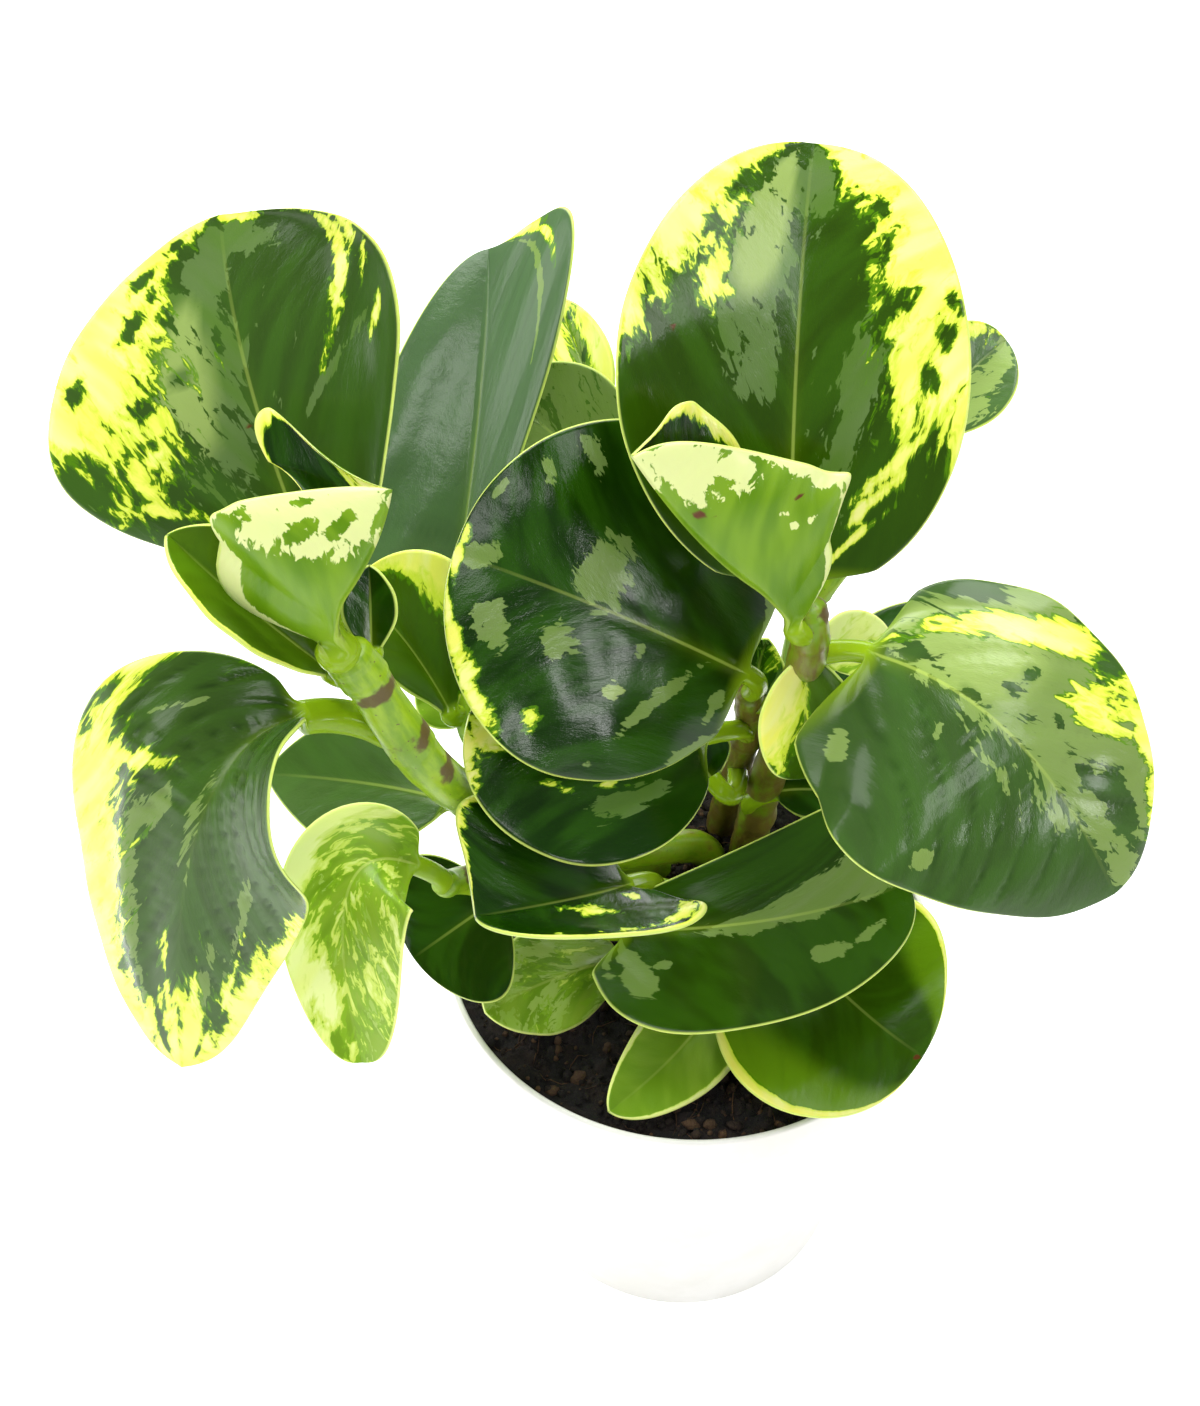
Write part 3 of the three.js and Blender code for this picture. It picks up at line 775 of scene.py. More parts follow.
@dataclass(frozen=True)
class Pot:
    """Tapered thin-walled pot with a plain band round its rim, in millimetres."""

    height: float = 105.0
    rim_radius: float = 60.0
    base_radius: float = 43.0
    wall: float = 1.5
    floor: float = 1.8
    band: float = 12.0
    band_step: float = 1.2
    lip: float = 0.7
    foot: float = 1.5
    corner: float = 1.4
    clean_below: float = 60.0
    soil_line: float = 97.0
    soiling: float = 6.0
    sectors: int = 192

    def outer(self, height: float) -> float:
        """Outside radius of the tapered wall at a height."""
        top = self.rim_radius - self.band_step
        return mix(self.base_radius, top, height / (self.height - self.band))

    def profile(self) -> Array:
        """Outline from the middle of the base, up the outside, over the lip and down inside.

        Returns:
            Radius and height rows.
        """
        band_foot = self.height - self.band
        inside = self.rim_radius - self.wall
        rise = np.linspace(self.foot + 0.5, band_foot - 0.3, 14)
        outside = np.stack([self.outer(rise), rise], -1)
        down = np.linspace(band_foot - 0.3, self.floor + self.corner + 0.2, 14)
        inner = np.stack([self.outer(down) - self.wall, down], -1)
        crown = self.height - self.lip
        turn = self.outer(self.floor) - self.wall - self.corner
        return np.concatenate([
            [[0.0, 0.0], [0.5 * self.base_radius, 0.0], [self.base_radius - 2.2, 0.0]],
            arc((self.base_radius - self.foot, self.foot), self.foot, -86.0, -6.0, 7),
            outside,
            [[self.rim_radius - 0.3, band_foot + self.band_step - 0.3]],
            [[self.rim_radius, band_foot + self.band_step + 0.1], [self.rim_radius, band_foot + 2.0]],
            arc((self.rim_radius - self.lip, crown), self.lip, 0.0, 90.0, 7),
            arc((inside + self.lip, crown), self.lip, 90.0, 180.0, 7)[1:],
            [[inside, band_foot + 3.0], [inside, band_foot + self.band_step]],
            inner,
            arc((turn, self.floor + self.corner), self.corner, -6.0, -86.0, 6),
            [[0.5 * self.base_radius, self.floor], [0.0, self.floor]],
        ])

    def skin(self) -> Skin:
        """The pot, with a value that marks the soiled inner band.

        Returns:
            The closed surface.
        """
        points, quads, triangles = turned(self.profile(), self.sectors)
        x, y, z = points.T
        wide = np.where(z > self.height - self.band, self.rim_radius, self.outer(z))
        within = (np.hypot(x, y) < wide - 0.7 * self.wall) & (z > self.clean_below)
        fade = 1.0 - smooth((z - self.soil_line) / self.soiling)
        return Skin(points, quads, triangles, {"inside": within * fade})


@dataclass(frozen=True)
class Soil:
    """Soil plug that fills the pot, with a lumpy top, loose crumbs and coir fibres on it.

    Lump and spacing are those of the frame's own waves. Each row of clods is a height, a
    spacing and a seed.
    """

    pot: Pot
    level: float = 98.0
    lump: float = 1.6
    spacing: float = 11.0
    clods: tuple[tuple[float, float, int], ...] = ((0.9, 9.0, 3), (0.55, 4.2, 5), (0.3, 2.1, 8))
    gap: float = 0.3
    rings: int = 116
    sectors: int = 300
    crumbs: int = 1900
    fibres: int = 170

    @property
    def reach(self) -> float:
        """Radius of the top."""
        return self.pot.rim_radius - self.pot.wall - self.gap

    def height(self, x: Array, y: Array) -> Array:
        """Height of the top at a place.

        The frame's slow waves give the main lumps. Three finer random fields, each folded at
        nought so that it forms rounded clods with creases between them, lie on top and fade
        out towards the wall.

        Args:
            x, y: the place.

        Returns:
            Heights above the pot's base.
        """
        u = 2.0 * np.pi * x / self.spacing
        v = 2.0 * np.pi * y / self.spacing
        broad = np.sin(0.37 * u + 0.29 * v + 1.1) * np.cos(0.33 * v - 0.21 * u)
        waves = np.sin(0.83 * u + 0.4) * np.sin(0.91 * v + 2.2)
        clods = sum(
            size * (np.abs(sine_field(x, y, spacing, seed)) - 0.6)
            for size, spacing, seed in self.clods
        )
        fade = smooth((self.reach - np.hypot(x, y)) / 3.0)
        return self.level + self.lump * (0.6 * broad + 0.4 * waves) + clods * (0.35 + 0.65 * fade)

    def skin(self) -> Skin:
        """The plug: straight sides in the pot and rings of the lumpy top.

        Returns:
            The closed surface.
        """
        pot, gap = self.pot, self.gap
        band_foot = pot.height - pot.band
        low = pot.floor + gap
        sides = [
            [0.0, low], [pot.outer(pot.floor) - pot.wall - gap, low],
            [pot.outer(band_foot) - pot.wall - gap, band_foot],
            [self.reach, band_foot + pot.band_step],
        ]
        radii = self.reach * np.arange(self.rings, -1, -1) / self.rings
        top = np.stack([radii, np.full_like(radii, self.level)], -1)
        points, quads, triangles = turned(np.concatenate([sides, top]), self.sectors)
        upper = points[:, 2] > band_foot + 2.0
        points[upper, 2] = self.height(points[upper, 0], points[upper, 1])
        return Skin(points, quads, triangles, {"straw": np.zeros(len(points))})

    def scatter(self, draw: np.random.Generator, count: int) -> Array:
        """Draws places on the top, evenly over its area.

        Args:
            draw: where the random numbers come from.
            count: number of places.

        Returns:
            Points, one row each.
        """
        radius = (self.reach - 3.0) * np.sqrt(draw.uniform(0.0, 1.0, count))
        angle = draw.uniform(0.0, 2.0 * np.pi, count)
        x, y = radius * np.cos(angle), radius * np.sin(angle)
        return np.stack([x, y, self.height(x, y)], -1)

    def crumb_skin(self) -> Skin:
        """Loose crumbs: one small ball of rings, squeezed, dented and turned at random for each.

        Returns:
            All of them as one surface.
        """
        draw = np.random.default_rng(11)
        rows, around = 5, 7
        tilt = np.pi * (np.arange(rows) + 1) / (rows + 1)
        turn = 2.0 * np.pi * np.arange(around) / around
        ring = np.stack(np.broadcast_arrays(
            np.sin(tilt)[:, None] * np.cos(turn), np.sin(tilt)[:, None] * np.sin(turn),
            -np.cos(tilt)[:, None],
        ), -1).reshape(-1, 3)
        ball = np.concatenate([ring, [[0.0, 0.0, -1.0], [0.0, 0.0, 1.0]]])
        count = self.crumbs
        size = draw.gamma(2.0, 0.2, (count, 1, 1)) + 0.28
        squeezed = draw.uniform(0.6, 1.25, (count, 1, 3))
        shape = size * squeezed * draw.uniform(0.8, 1.2, (count, len(ball), 1))
        spun = draw.normal(size=(count, 3, 3))
        axes, _ = np.linalg.qr(spun)
        axes *= np.sign(np.linalg.det(axes))[:, None, None]
        centre = self.scatter(draw, count)[:, None, :] + np.array([0.0, 0.0, 0.25]) * size
        points = np.einsum("npi,nij->npj", ball * shape, axes) + centre
        shift = (len(ball) * np.arange(count))[:, None, None]
        straw = np.repeat(draw.uniform(0.0, 1.0, count) ** 4 * 0.8, len(ball))
        return Skin(
            points.reshape(-1, 3),
            (ring_faces(rows, around) + shift).reshape(-1, 4),
            (pole_faces(rows, around) + shift).reshape(-1, 3),
            {"straw": straw},
        )

    def fibre_skin(self) -> Skin:
        """Coir fibres: thin four-sided tubes along short arcs that lie on the soil.

        Returns:
            All of them as one surface.
        """
        draw = np.random.default_rng(23)
        count, steps = self.fibres, 9
        share = np.linspace(-1.0, 1.0, steps)
        middle = self.scatter(draw, count)
        turn = draw.uniform(0.0, 2.0 * np.pi, (count, 1))
        length = draw.uniform(2.0, 6.0, (count, 1))
        bend = draw.uniform(-2.2, 2.2, (count, 1))
        ahead = length * share
        aside = bend * share**2
        x = middle[:, :1] + ahead * np.cos(turn) - aside * np.sin(turn)
        y = middle[:, 1:2] + ahead * np.sin(turn) + aside * np.cos(turn)
        spread = np.minimum(1.0, (self.reach - 1.0) / np.hypot(x, y))
        x, y = x * spread, y * spread
        axis = np.stack([x, y, self.height(x, y) + 0.25], -1)
        along = unit(np.gradient(axis, axis=1))
        side = unit(np.cross(along, [0.0, 0.0, 1.0]))
        lift = np.cross(side, along)
        radius = (0.16 * np.sqrt(1.02 - share**2))[None, :, None]
        corners = [side, lift, -side, -lift]
        rings = np.stack([axis + corner * radius for corner in corners], 2)
        faces = np.concatenate([
            ring_faces(steps, 4), [[3, 2, 1, 0]], 4 * (steps - 1) + np.array([[0, 1, 2, 3]]),
        ])
        shift = (4 * steps * np.arange(count))[:, None, None]
        straw = np.repeat(draw.uniform(0.3, 1.0, count), 4 * steps)
        return Skin(
            rings.reshape(-1, 3), (faces + shift).reshape(-1, 4), NO_TRIANGLES, {"straw": straw},
        )


# Stems

@dataclass(frozen=True)
class Stem:
    """A fleshy stem, in millimetres.

    Rows are points of its axis with the radius there. Flush is how purple it is at its foot and
    at its top, and scars are shares of its length. Swell is the share of the radius that a leaf
    joint adds, and the collar is the low ridge below it.
    """

    node: str
    flush: Pair
    scars: tuple[float, ...]
    rows: tuple[tuple[float, float, float, float], ...]
    step: float = 0.8
    sides: int = 32
    swell: float = 0.09
    swell_reach: float = 3.0
    collar: float = 0.22
    collar_drop: float = 2.4
    collar_reach: float = 0.7
    cap: float = 2.2
    ripple: float = 0.02
    ripple_spacing: float = 9.0
    scar_reach: float = 3.0
    scar_turn: float = 1.2

    def axis(self, share: Array) -> tuple[Array, Array, Array]:
        """Axis of the stem, a uniform Catmull-Rom curve through its rows.

        Between two rows the point is a cubic whose slope at each is half the way between the
        rows on either side; past the ends the row is mirrored. The radius changes straight.

        Args:
            share: places along the stem from 0 to 1.

        Returns:
            Points, unit directions and radii.
        """
        rows = np.array(self.rows)
        spots = rows[:, :3]
        padded = np.concatenate([[2 * spots[0] - spots[1]], spots, [2 * spots[-1] - spots[-2]]])
        place = np.clip(share, 0.0, 1.0) * (len(rows) - 1)
        row = np.minimum(place.astype(int), len(rows) - 2)
        t = (place - row)[:, None]
        a, b, c, d = (padded[row + shift] for shift in range(4))
        square = a - 2.5 * b + 2.0 * c - 0.5 * d
        cube = -0.5 * a + 1.5 * b - 1.5 * c + 0.5 * d
        point = b + 0.5 * (c - a) * t + square * t**2 + cube * t**3
        slope = 0.5 * (c - a) + 2.0 * square * t + 3.0 * cube * t**2
        radius = mix(rows[row, 3], rows[row + 1, 3], place - row)
        return point, unit(slope), radius

    def skin(self, joints: Array, seed: int) -> Skin:
        """The stem's tube.

        Rings stand square to the axis. The radius swells in a bell round each leaf joint, with
        a low ridge just below it, ripples a little along and round the stem, and closes in a
        quarter circle at the top. A scar goes part of the way round, further on at each one.

        Args:
            joints: share of the length at each joint.
            seed: seed of the ripples.

        Returns:
            The closed surface.
        """
        rough_length = np.linalg.norm(np.diff(np.array(self.rows)[:, :3], axis=0), axis=1).sum()
        count = int(math.ceil(rough_length / self.step))
        share = np.linspace(0.0, 1.0, count + 1)
        point, along, radius = self.axis(share)
        run = np.concatenate([[0.0], np.cumsum(np.linalg.norm(np.diff(point, axis=0), axis=1))])
        spots, _, _ = self.axis(joints)
        distance = np.linalg.norm(point[:, None, :] - spots[None, :, :], axis=-1)
        ahead = run[:, None] - np.interp(joints, share, run)[None, :]
        swelling = bell(distance, self.swell_reach).max(1)
        ridge = bell(ahead + self.collar_drop, self.collar_reach).max(1)
        marked = run[:, None] - np.interp(self.scars, share, run)[None, :]
        end = np.clip((run - (run[-1] - self.cap)) / (self.cap + 0.05), 0.0, 1.0)
        radius = radius * (1.0 + self.swell * swelling) + self.collar * ridge
        radius = radius * np.sqrt(1.0 - end**2)
        across = square_to(np.broadcast_to([1.0, 0.0, 0.0], along.shape), along)
        up = np.cross(across, along)
        turn, stretch = np.meshgrid(ring_angles(self.sides), run)
        hills = sine_field(
            3.0 * np.cos(turn), stretch + 3.0 * np.sin(turn), self.ripple_spacing, seed,
        )
        rings = round_rings(point, across, up, radius[:, None] * (1.0 + self.ripple * hills), turn)
        nearest = np.abs(marked).argmin(1)
        part = 0.5 + 0.5 * np.cos(turn - 0.5 * nearest[:, None] + self.scar_turn)
        return Skin(
            rings.reshape(-1, 3),
            tube_faces(count + 1, self.sides),
            NO_TRIANGLES,
            {
                "along": CM * stretch,
                "ring_x": 0.4 * np.cos(turn),
                "ring_y": 0.4 * np.sin(turn),
                "joint": bell(np.abs(marked).min(1), self.scar_reach)[:, None] * part,
                "flush": np.repeat(mix(*self.flush, share), self.sides),
                "seed": np.full(len(share) * self.sides, 3.1 * seed),
            },
        )


# Leaves

class Tone(Enum):
    """What a mark on a blade is."""

    CREAM = "cream-yellow blotch"
    SAGE = "grey-green blotch"
    GREEN = "green island in the lighter blotches"
    # Lime: yellow-green colour together with a painted glow of light shining through the thin leaf
    LIME = "soft yellow-green area"
    WASH = "soft area in which the grey-green is paler"
    SCAR = "small brown scar"


@dataclass(frozen=True)
class Mark:
    """A blotch on the blade, an oval in its own coordinates.

    u runs from the base to the tip, v across from -1 to 1. Length is its half size along u and
    width along v. Lean moves it towards the tip as it goes outwards, as the veins do.
    """

    tone: Tone
    u: float
    v: float
    length: float
    width: float
    lean: float = 0.0

    def level(self, u: Array, v: Array, span: Pair) -> Array:
        """How far inside the oval a place lies.

        Args:
            u, v: places on the blade.
            span: the blade's length and half width in millimetres.

        Returns:
            0 on the oval's outline, above it inside and below it outside. The smaller the oval,
            the flatter the level, so that a small blotch is as ragged as a large one.
        """
        shift = self.lean * (np.abs(v) - abs(self.v))
        size = math.sqrt(self.length * span[0] * self.width * span[1])
        plain = self.tone in (Tone.SCAR, Tone.LIME, Tone.WASH)
        slope = 1.0 if plain else min(1.0, max(0.45, math.sqrt(size / 16.0)))
        return slope * (1.0 - np.hypot((u - self.u - shift) / self.length, (v - self.v) / self.width))


cream, sage, green, lime, wash, scar = (partial(Mark, tone) for tone in Tone)


@dataclass(frozen=True)
class Leaf:
    """One leaf: its blade's form in the frame's millimetres and the marks on it.

    The midrib is an arc through base, middle and tip. Pairs hold the values of the left and
    right half. Fold and curl are degrees: fold lifts a half at the midrib, curl bends it on
    towards the margin. Sides scale the halves, skew slides them along the midrib and lobe draws
    them back past the base.
    """

    node: str
    on: tuple[str, float]
    base: Point
    middle: Point
    tip: Point
    facing: Point
    width: float = 40.0
    widest: float = 0.5
    ends: Pair = (0.5, 0.5)
    points: Pair = (1.0, 1.0)
    fold: Pair = (8.0, 8.0)
    fold_tip: Pair | None = None
    curl: Pair = (8.0, 8.0)
    curl_tip: Pair | None = None
    bend: float = 1.0
    sides: Pair = (1.0, 1.0)
    skew: Pair = (0.0, 0.0)
    neck: Point = (0.0, 0.0, 0.0)
    neck_ends: Pair = (0.25, 0.08)
    lobe: Pair = (0.0, 0.0)
    # Depth of the vein grooves, which also sets how strong their painted shade is
    grooves: float = 0.08
    border: Pair = (0.0, 0.0)
    cream_level: float = -0.8
    sage_level: float = -0.6
    fresh: float = 0.0
    grey: float = 0.0
    wash: float = 0.0
    ragged: float = 1.0
    rake: float = 1.3
    line: float = 0.5
    ridge: Pair = (0.5, 0.0)
    pale: bool = False
    marks: tuple[Mark, ...] = ()
    thickness: float = 1.1
    rib: float = 0.9
    crease: float = 0.3
    roll: float = 0.22
    roll_spacing: float = 19.0
    ripple: float = 0.35
    stalk: float = 2.3
    channel: float = 0.16

    @property
    def large(self) -> bool:
        """True for a full-grown leaf, which gets the finer grid."""
        return self.width > 36.0

    @property
    def scale(self) -> float:
        """Width as a share of a 60 mm leaf's."""
        return self.width / 60.0

    @property
    def seed(self) -> int:
        """Seed of everything random on this leaf."""
        return 1 + sum(ord(letter) * (place + 3) for place, letter in enumerate(self.node)) % 997

    def half(self, pair: Pair, v: Array) -> Array:
        """The pair's value for the half that v lies in."""
        return np.where(v > 0.0, pair[1], pair[0])

    def half_width(self, u: Array, v: Array) -> Array:
        """Half width in millimetres.

        A sine hump over the length, stretched so that its top is at the widest place and raised
        to a power that sets how blunt the base and the tip are, never less than the stalk at
        the base.

        Args:
            u, v: places on the blade.

        Returns:
            Distance from the midrib to the margin.
        """
        stretch = math.log(0.5) / math.log(self.widest)
        blunt = mix(*self.ends, smooth((u - 0.3) / 0.4)) * self.half(self.points, v)
        hump = np.sin(np.pi * np.clip(u, 1e-6, 0.99999) ** stretch) ** blunt
        return np.hypot(0.5 * self.width * self.half(self.sides, v) * hump, self.stalk * (1.0 - u))

    def midrib(self, place: Array) -> tuple[Array, Array, Array, Array]:
        """Midrib arc, a parabola through base, middle and tip that runs straight on past its ends.

        The neck draws its first quarter out: the base moves by the whole neck and the rest by
        the square of what is left of that quarter. Next to the base it turns along the neck too.

        Args:
            place: share of its length.

        Returns:
            Points and the unit directions along, up and across.
        """
        base, middle, tip = (np.array(spot) for spot in (self.base, self.middle, self.tip))
        pull = 2.0 * middle - 0.5 * (base + tip)
        held = np.clip(place, 0.0, 1.0)[..., None]
        slope = 2.0 * (1.0 - held) * (pull - base) + 2.0 * held * (tip - pull)
        point = (1.0 - held) ** 2 * base + 2.0 * held * (1.0 - held) * pull + held**2 * tip
        drawn, turned = (np.maximum(0.0, 1.0 - held / end) for end in self.neck_ends)
        point = point + drawn**2 * np.array(self.neck)
        slope = slope - 2.0 / self.neck_ends[0] * turned * np.array(self.neck)
        point = point + slope * (place[..., None] - held)
        along = unit(slope)
        up = square_to(np.broadcast_to(self.facing, along.shape), along)
        return point, along, up, np.cross(along, up)

    @property
    def length(self) -> float:
        """Length of the blade along its midrib."""
        point, _, _, _ = self.midrib(np.linspace(0.0, 1.0, 33))
        return float(np.linalg.norm(np.diff(point, axis=0), axis=1).sum())

    def section(self, u: Array, v: Array) -> tuple[Array, Array, Array]:
        """Cross section of one half: its slope is the fold and then the curl on top of it.

        The sine and cosine of the slope are summed outwards from the midrib in small steps.

        Args:
            u, v: places on the blade.

        Returns:
            Distance across, height and slope in radians at v, for a half width of 1.
        """
        fold_tip = self.fold_tip or self.fold
        curl_tip = self.curl_tip or self.curl
        fold = mix(self.half(self.fold, v), self.half(fold_tip, v), smooth(1.3 * u))
        curl = mix(self.half(self.curl, v), self.half(curl_tip, v), u)
        reach = np.abs(v)
        steps = (np.arange(SECTION_STEPS) + 0.5) / SECTION_STEPS
        bent = curl[..., None] * (reach[..., None] * steps) ** self.bend
        slope = np.radians(fold[..., None] + bent)
        side = np.sign(v)
        across = side * reach * np.cos(slope).mean(-1)
        height = reach * np.sin(slope).mean(-1)
        return across, height, np.radians(fold + curl * reach**self.bend)

    def veins(self, u: Array, v: Array) -> Array:
        """Distance along the midrib, in millimetres, at which the side vein through a place starts.

        Rake says how far the veins run towards the tip for each millimetre that they run out.
        """
        half = 0.5 * self.width * self.half(self.sides, v)
        return u * self.length - self.rake * half * np.sin(np.pi * u) * np.abs(v) ** 0.9

    def grooving(self, u: Array, v: Array) -> Array:
        """Finds the grooves over the side veins.

        Args:
            u, v: places on the blade.

        Returns:
            1 in a groove, 0 between them and near the midrib and the margin.
        """
        spacing = 10.5 if self.large else 7.0
        off = (np.mod(self.veins(u, v) / spacing + 0.5, 1.0) - 0.5) * spacing
        inner = smooth(np.abs(v) / 0.2)
        outer = 1.0 - smooth((np.abs(v) - 0.7) / 0.27)
        return bell(off, 0.8) * inner * outer * smooth((0.97 - u) / 0.2)

    def relief(self, u: Array, v: Array, width: Array) -> Array:
        """Height of the blade's small forms.

        Each side vein lies in a groove. The skin rolls in slow random waves and ripples towards
        the margin. A ridge, where there is one, runs lengthwise at its place across.

        Args:
            u, v: places on the blade.
            width: half width there.

        Returns:
            Height above the plain section.
        """
        x, y = u * self.length, v * width
        hills = sine_field(x, y, self.roll_spacing, self.seed)
        roll = self.roll * self.scale * hills * np.abs(v) ** 0.5
        turns = 2.0 + self.seed % 3
        wave = np.sin(2.0 * np.pi * turns * u + self.seed + 1.7 * (v > 0.0))
        ripple = self.ripple * np.abs(v) ** 4 * wave * smooth(u / 0.2) * self.scale
        side, height = self.ridge
        ridge = height * bell(v - side, 0.11) * smooth((u - 0.15) / 0.35) * smooth((1.0 - u) / 0.3)
        return roll + ripple + ridge - self.grooves * self.grooving(u, v)

    def blade_rings(self, u: Array, v: Array) -> Array:
        """Rings round the blade: the upper face from left to right and back along the lower one.

        Args:
            u: places along, one row a ring.
            v: places across, one column a point of a face.

        Returns:
            Points of the rings.
        """
        lobe = self.half(self.lobe, v) * v**2 * (1.0 - u) ** 2
        place = u - lobe + self.half(self.skew, v) * np.abs(v) * np.sin(np.pi * u)
        point, _, up, across = self.midrib(place)
        width = self.half_width(u, v)
        aside, height, slope = self.section(u, v)
        normal = up * np.cos(slope)[..., None] - across * (np.sign(v) * np.sin(slope))[..., None]
        centre = point + across * (aside * width)[..., None] + up * (height * width)[..., None]
        centre = centre + normal * self.relief(u, v, width)[..., None]
        inset = np.clip(1.0 - 1.0 / width, 0.0, 0.98)
        rim = np.clip((np.abs(v) - inset) / (1.0 - inset), 0.0, 1.0)
        half = 0.5 * self.thickness * np.maximum(np.sqrt(1.0 - rim**2), 0.16)
        crease = self.crease * (1.0 - u) * bell(v * width, 1.1)
        rib = self.rib * (1.0 - u) * bell(v, 0.16)
        upper = centre + normal * (half - crease)[..., None]
        lower = centre - normal * (half + rib)[..., None]
        faces = np.concatenate([upper, lower[:, ::-1]], 1)
        spine, _, stalk_up, stalk_across = self.midrib(u[:, 0])
        foot = self.stalk_rings(spine, stalk_across, stalk_up, faces.shape[1], np.ones(len(u)))
        return mix(foot, faces, smooth(u / 0.05)[..., None])

    def stalk_rings(self, centre: Array, across: Array, up: Array, count: int, swell: Array) -> Array:
        """Round rings for the stalk, with a shallow channel on top.

        Args:
            centre: middle of each ring.
            across, up: unit directions of each ring.
            count: points on a ring.
            swell: radius of each ring as a share of the stalk's.

        Returns:
            Points of the rings.
        """
        turn = ring_angles(count)[None, :]
        channel = 1.0 - self.channel * np.clip(np.sin(turn), 0.0, 1.0) ** 6
        return round_rings(centre, across, up, self.stalk * swell[:, None] * channel, turn)

    def stalk_part(self, root: Array, rows: int, count: int) -> tuple[Array, Array]:
        """Stalk from the stem's axis to the blade's base, a parabola that arrives along the midrib.

        Args:
            root: point on the stem's axis.
            rows: number of rings.
            count: points on a ring.

        Returns:
            Rings and the distance of each from the base, in millimetres.
        """
        start, along, up, _ = self.midrib(np.zeros(1))
        span = float(np.linalg.norm(start[0] - root))
        pull = start[0] - 0.5 * span * along[0]
        share = (np.arange(rows) / rows)[:, None]
        centre = (1.0 - share) ** 2 * root + 2.0 * share * (1.0 - share) * pull + share**2 * start[0]
        slope = unit((1.0 - share) * (pull - root) + share * (start[0] - pull))
        stand = square_to(np.broadcast_to(up[0], slope.shape), slope)
        distance = span * share[:, 0]
        swell = 1.0 + 0.08 * bell(distance - 3.6, 2.2)
        rings = self.stalk_rings(centre, np.cross(slope, stand), stand, count, swell)
        return rings, span - distance

    def field(self, tone: Tone, u: Array, v: Array) -> Array:
        """Level of one tone over the blade: above nought inside its marks.

        The highest of the marks' levels, the whole blade's own level and, for cream, the level
        of a pale border. Green islands push it down again.

        Args:
            tone: the tone.
            u, v: places on the blade.

        Returns:
            Levels from -1 to 0.5.
        """
        whole = {Tone.CREAM: self.cream_level, Tone.SAGE: self.sage_level}.get(tone, -1.0)
        level = np.full(np.broadcast(u, v).shape, whole)
        span = (self.length, 0.5 * self.width)
        for mark in self.marks:
            if mark.tone is tone:
                level = np.maximum(level, mark.level(u, v, span))
        if tone is Tone.CREAM:
            border = np.maximum(self.half(self.border, v), 1e-6)
            level = np.maximum(level, 1.0 - (1.0 - np.abs(v)) / border)
        if tone is not Tone.SCAR:
            for mark in self.marks:
                if mark.tone is Tone.GREEN:
                    level = np.minimum(level, -mark.level(u, v, span))
        return np.clip(level, -1.0, 0.28 if tone is Tone.SAGE else 0.5)

    def skin(self, root: Array) -> Skin:
        """The whole leaf as one closed surface.

        Args:
            root: point on the stem's axis where the stalk starts.

        Returns:
            The surface, with its blade coordinates and the values that its finish reads.
        """
        stations, columns, rows = FINE_GRID if self.large else PLAIN_GRID
        station = np.pi * np.arange(stations + 1) / stations
        u = np.minimum((1.0 - np.cos(station)) / 2.0, 0.9999)[:, None]
        even = np.linspace(-1.0, 1.0, columns)
        v = (0.25 * even + 0.75 * np.sin(0.5 * np.pi * even))[None, :]
        blade = self.blade_rings(u, v)
        count = 2 * columns
        stalk, distance = self.stalk_part(root, rows, count)
        width = self.half_width(u, v)
        total = rows + stations + 1

        def spread(blade_values: Array, stalk_value: float) -> Array:
            """Carries values over all rings.

            Args:
                blade_values: values on one face of the blade.
                stalk_value: value on the stalk.

            Returns:
                The values, alike on both faces.
            """
            both = np.broadcast_to(blade_values, (stations + 1, columns))
            both = np.concatenate([both, both[:, ::-1]], 1)
            return np.concatenate([np.full((rows, count), stalk_value), both])

        # Lime areas: yellow-green colour and a painted glow of light shining through the thin leaf
        young = smooth((self.field(Tone.LIME, u, v) + 0.15) / 0.6)
        washed = smooth((self.field(Tone.WASH, u, v) + 0.1) / 0.4)
        rib_glow = 0.35 * bell(v * width, 1.5) * (1.0 - u) ** 3
        edge = np.minimum((1.0 - np.abs(v)) * width, EDGE_REACH)
        edge = edge + EDGE_REACH * (1.0 - smooth(u / 0.03))
        under = np.zeros((total, count))
        under[:, columns:] = 1.0
        place = spread(self.veins(u, v), 0.0)
        place[:rows] = -distance[:, None]
        plane = np.stack([place, spread(v * width, 0.0)], -1).reshape(-1, 2) * CM
        return Skin(
            np.concatenate([stalk, blade]).reshape(-1, 3),
            tube_faces(total, count),
            NO_TRIANGLES,
            {
                "cream": spread(self.field(Tone.CREAM, u, v), -1.0),
                "sage": spread(self.field(Tone.SAGE, u, v), -1.0),
                "scar": spread(self.field(Tone.SCAR, u, v), -1.0),
                "stalk": spread(np.maximum(1.0 - smooth(u / 0.06), rib_glow), 1.0),
                # Distance in from the margin, which places the painted highlight along the edge
                "edge": spread(edge, EDGE_REACH),
                "midrib": spread(self.line * (1.0 - u), 0.0),
                "underside": under,
                "seed": np.full((total, count), 0.37 * self.seed),
                "fresh": spread(mix(self.fresh, 0.9, young), self.fresh),
                "wash": spread(mix(self.wash, 1.0, washed), 0.0),
                # Strength of the painted shade in the vein grooves
                "groove": spread(self.grooving(u, v) * min(1.0, self.grooves / 0.3), 0.0),
                "grey": np.full((total, count), self.grey),
                "ragged": np.full((total, count), self.ragged),
            },
            plane,
        )


# The stems, each from its foot to its top, then the leaves with their marks

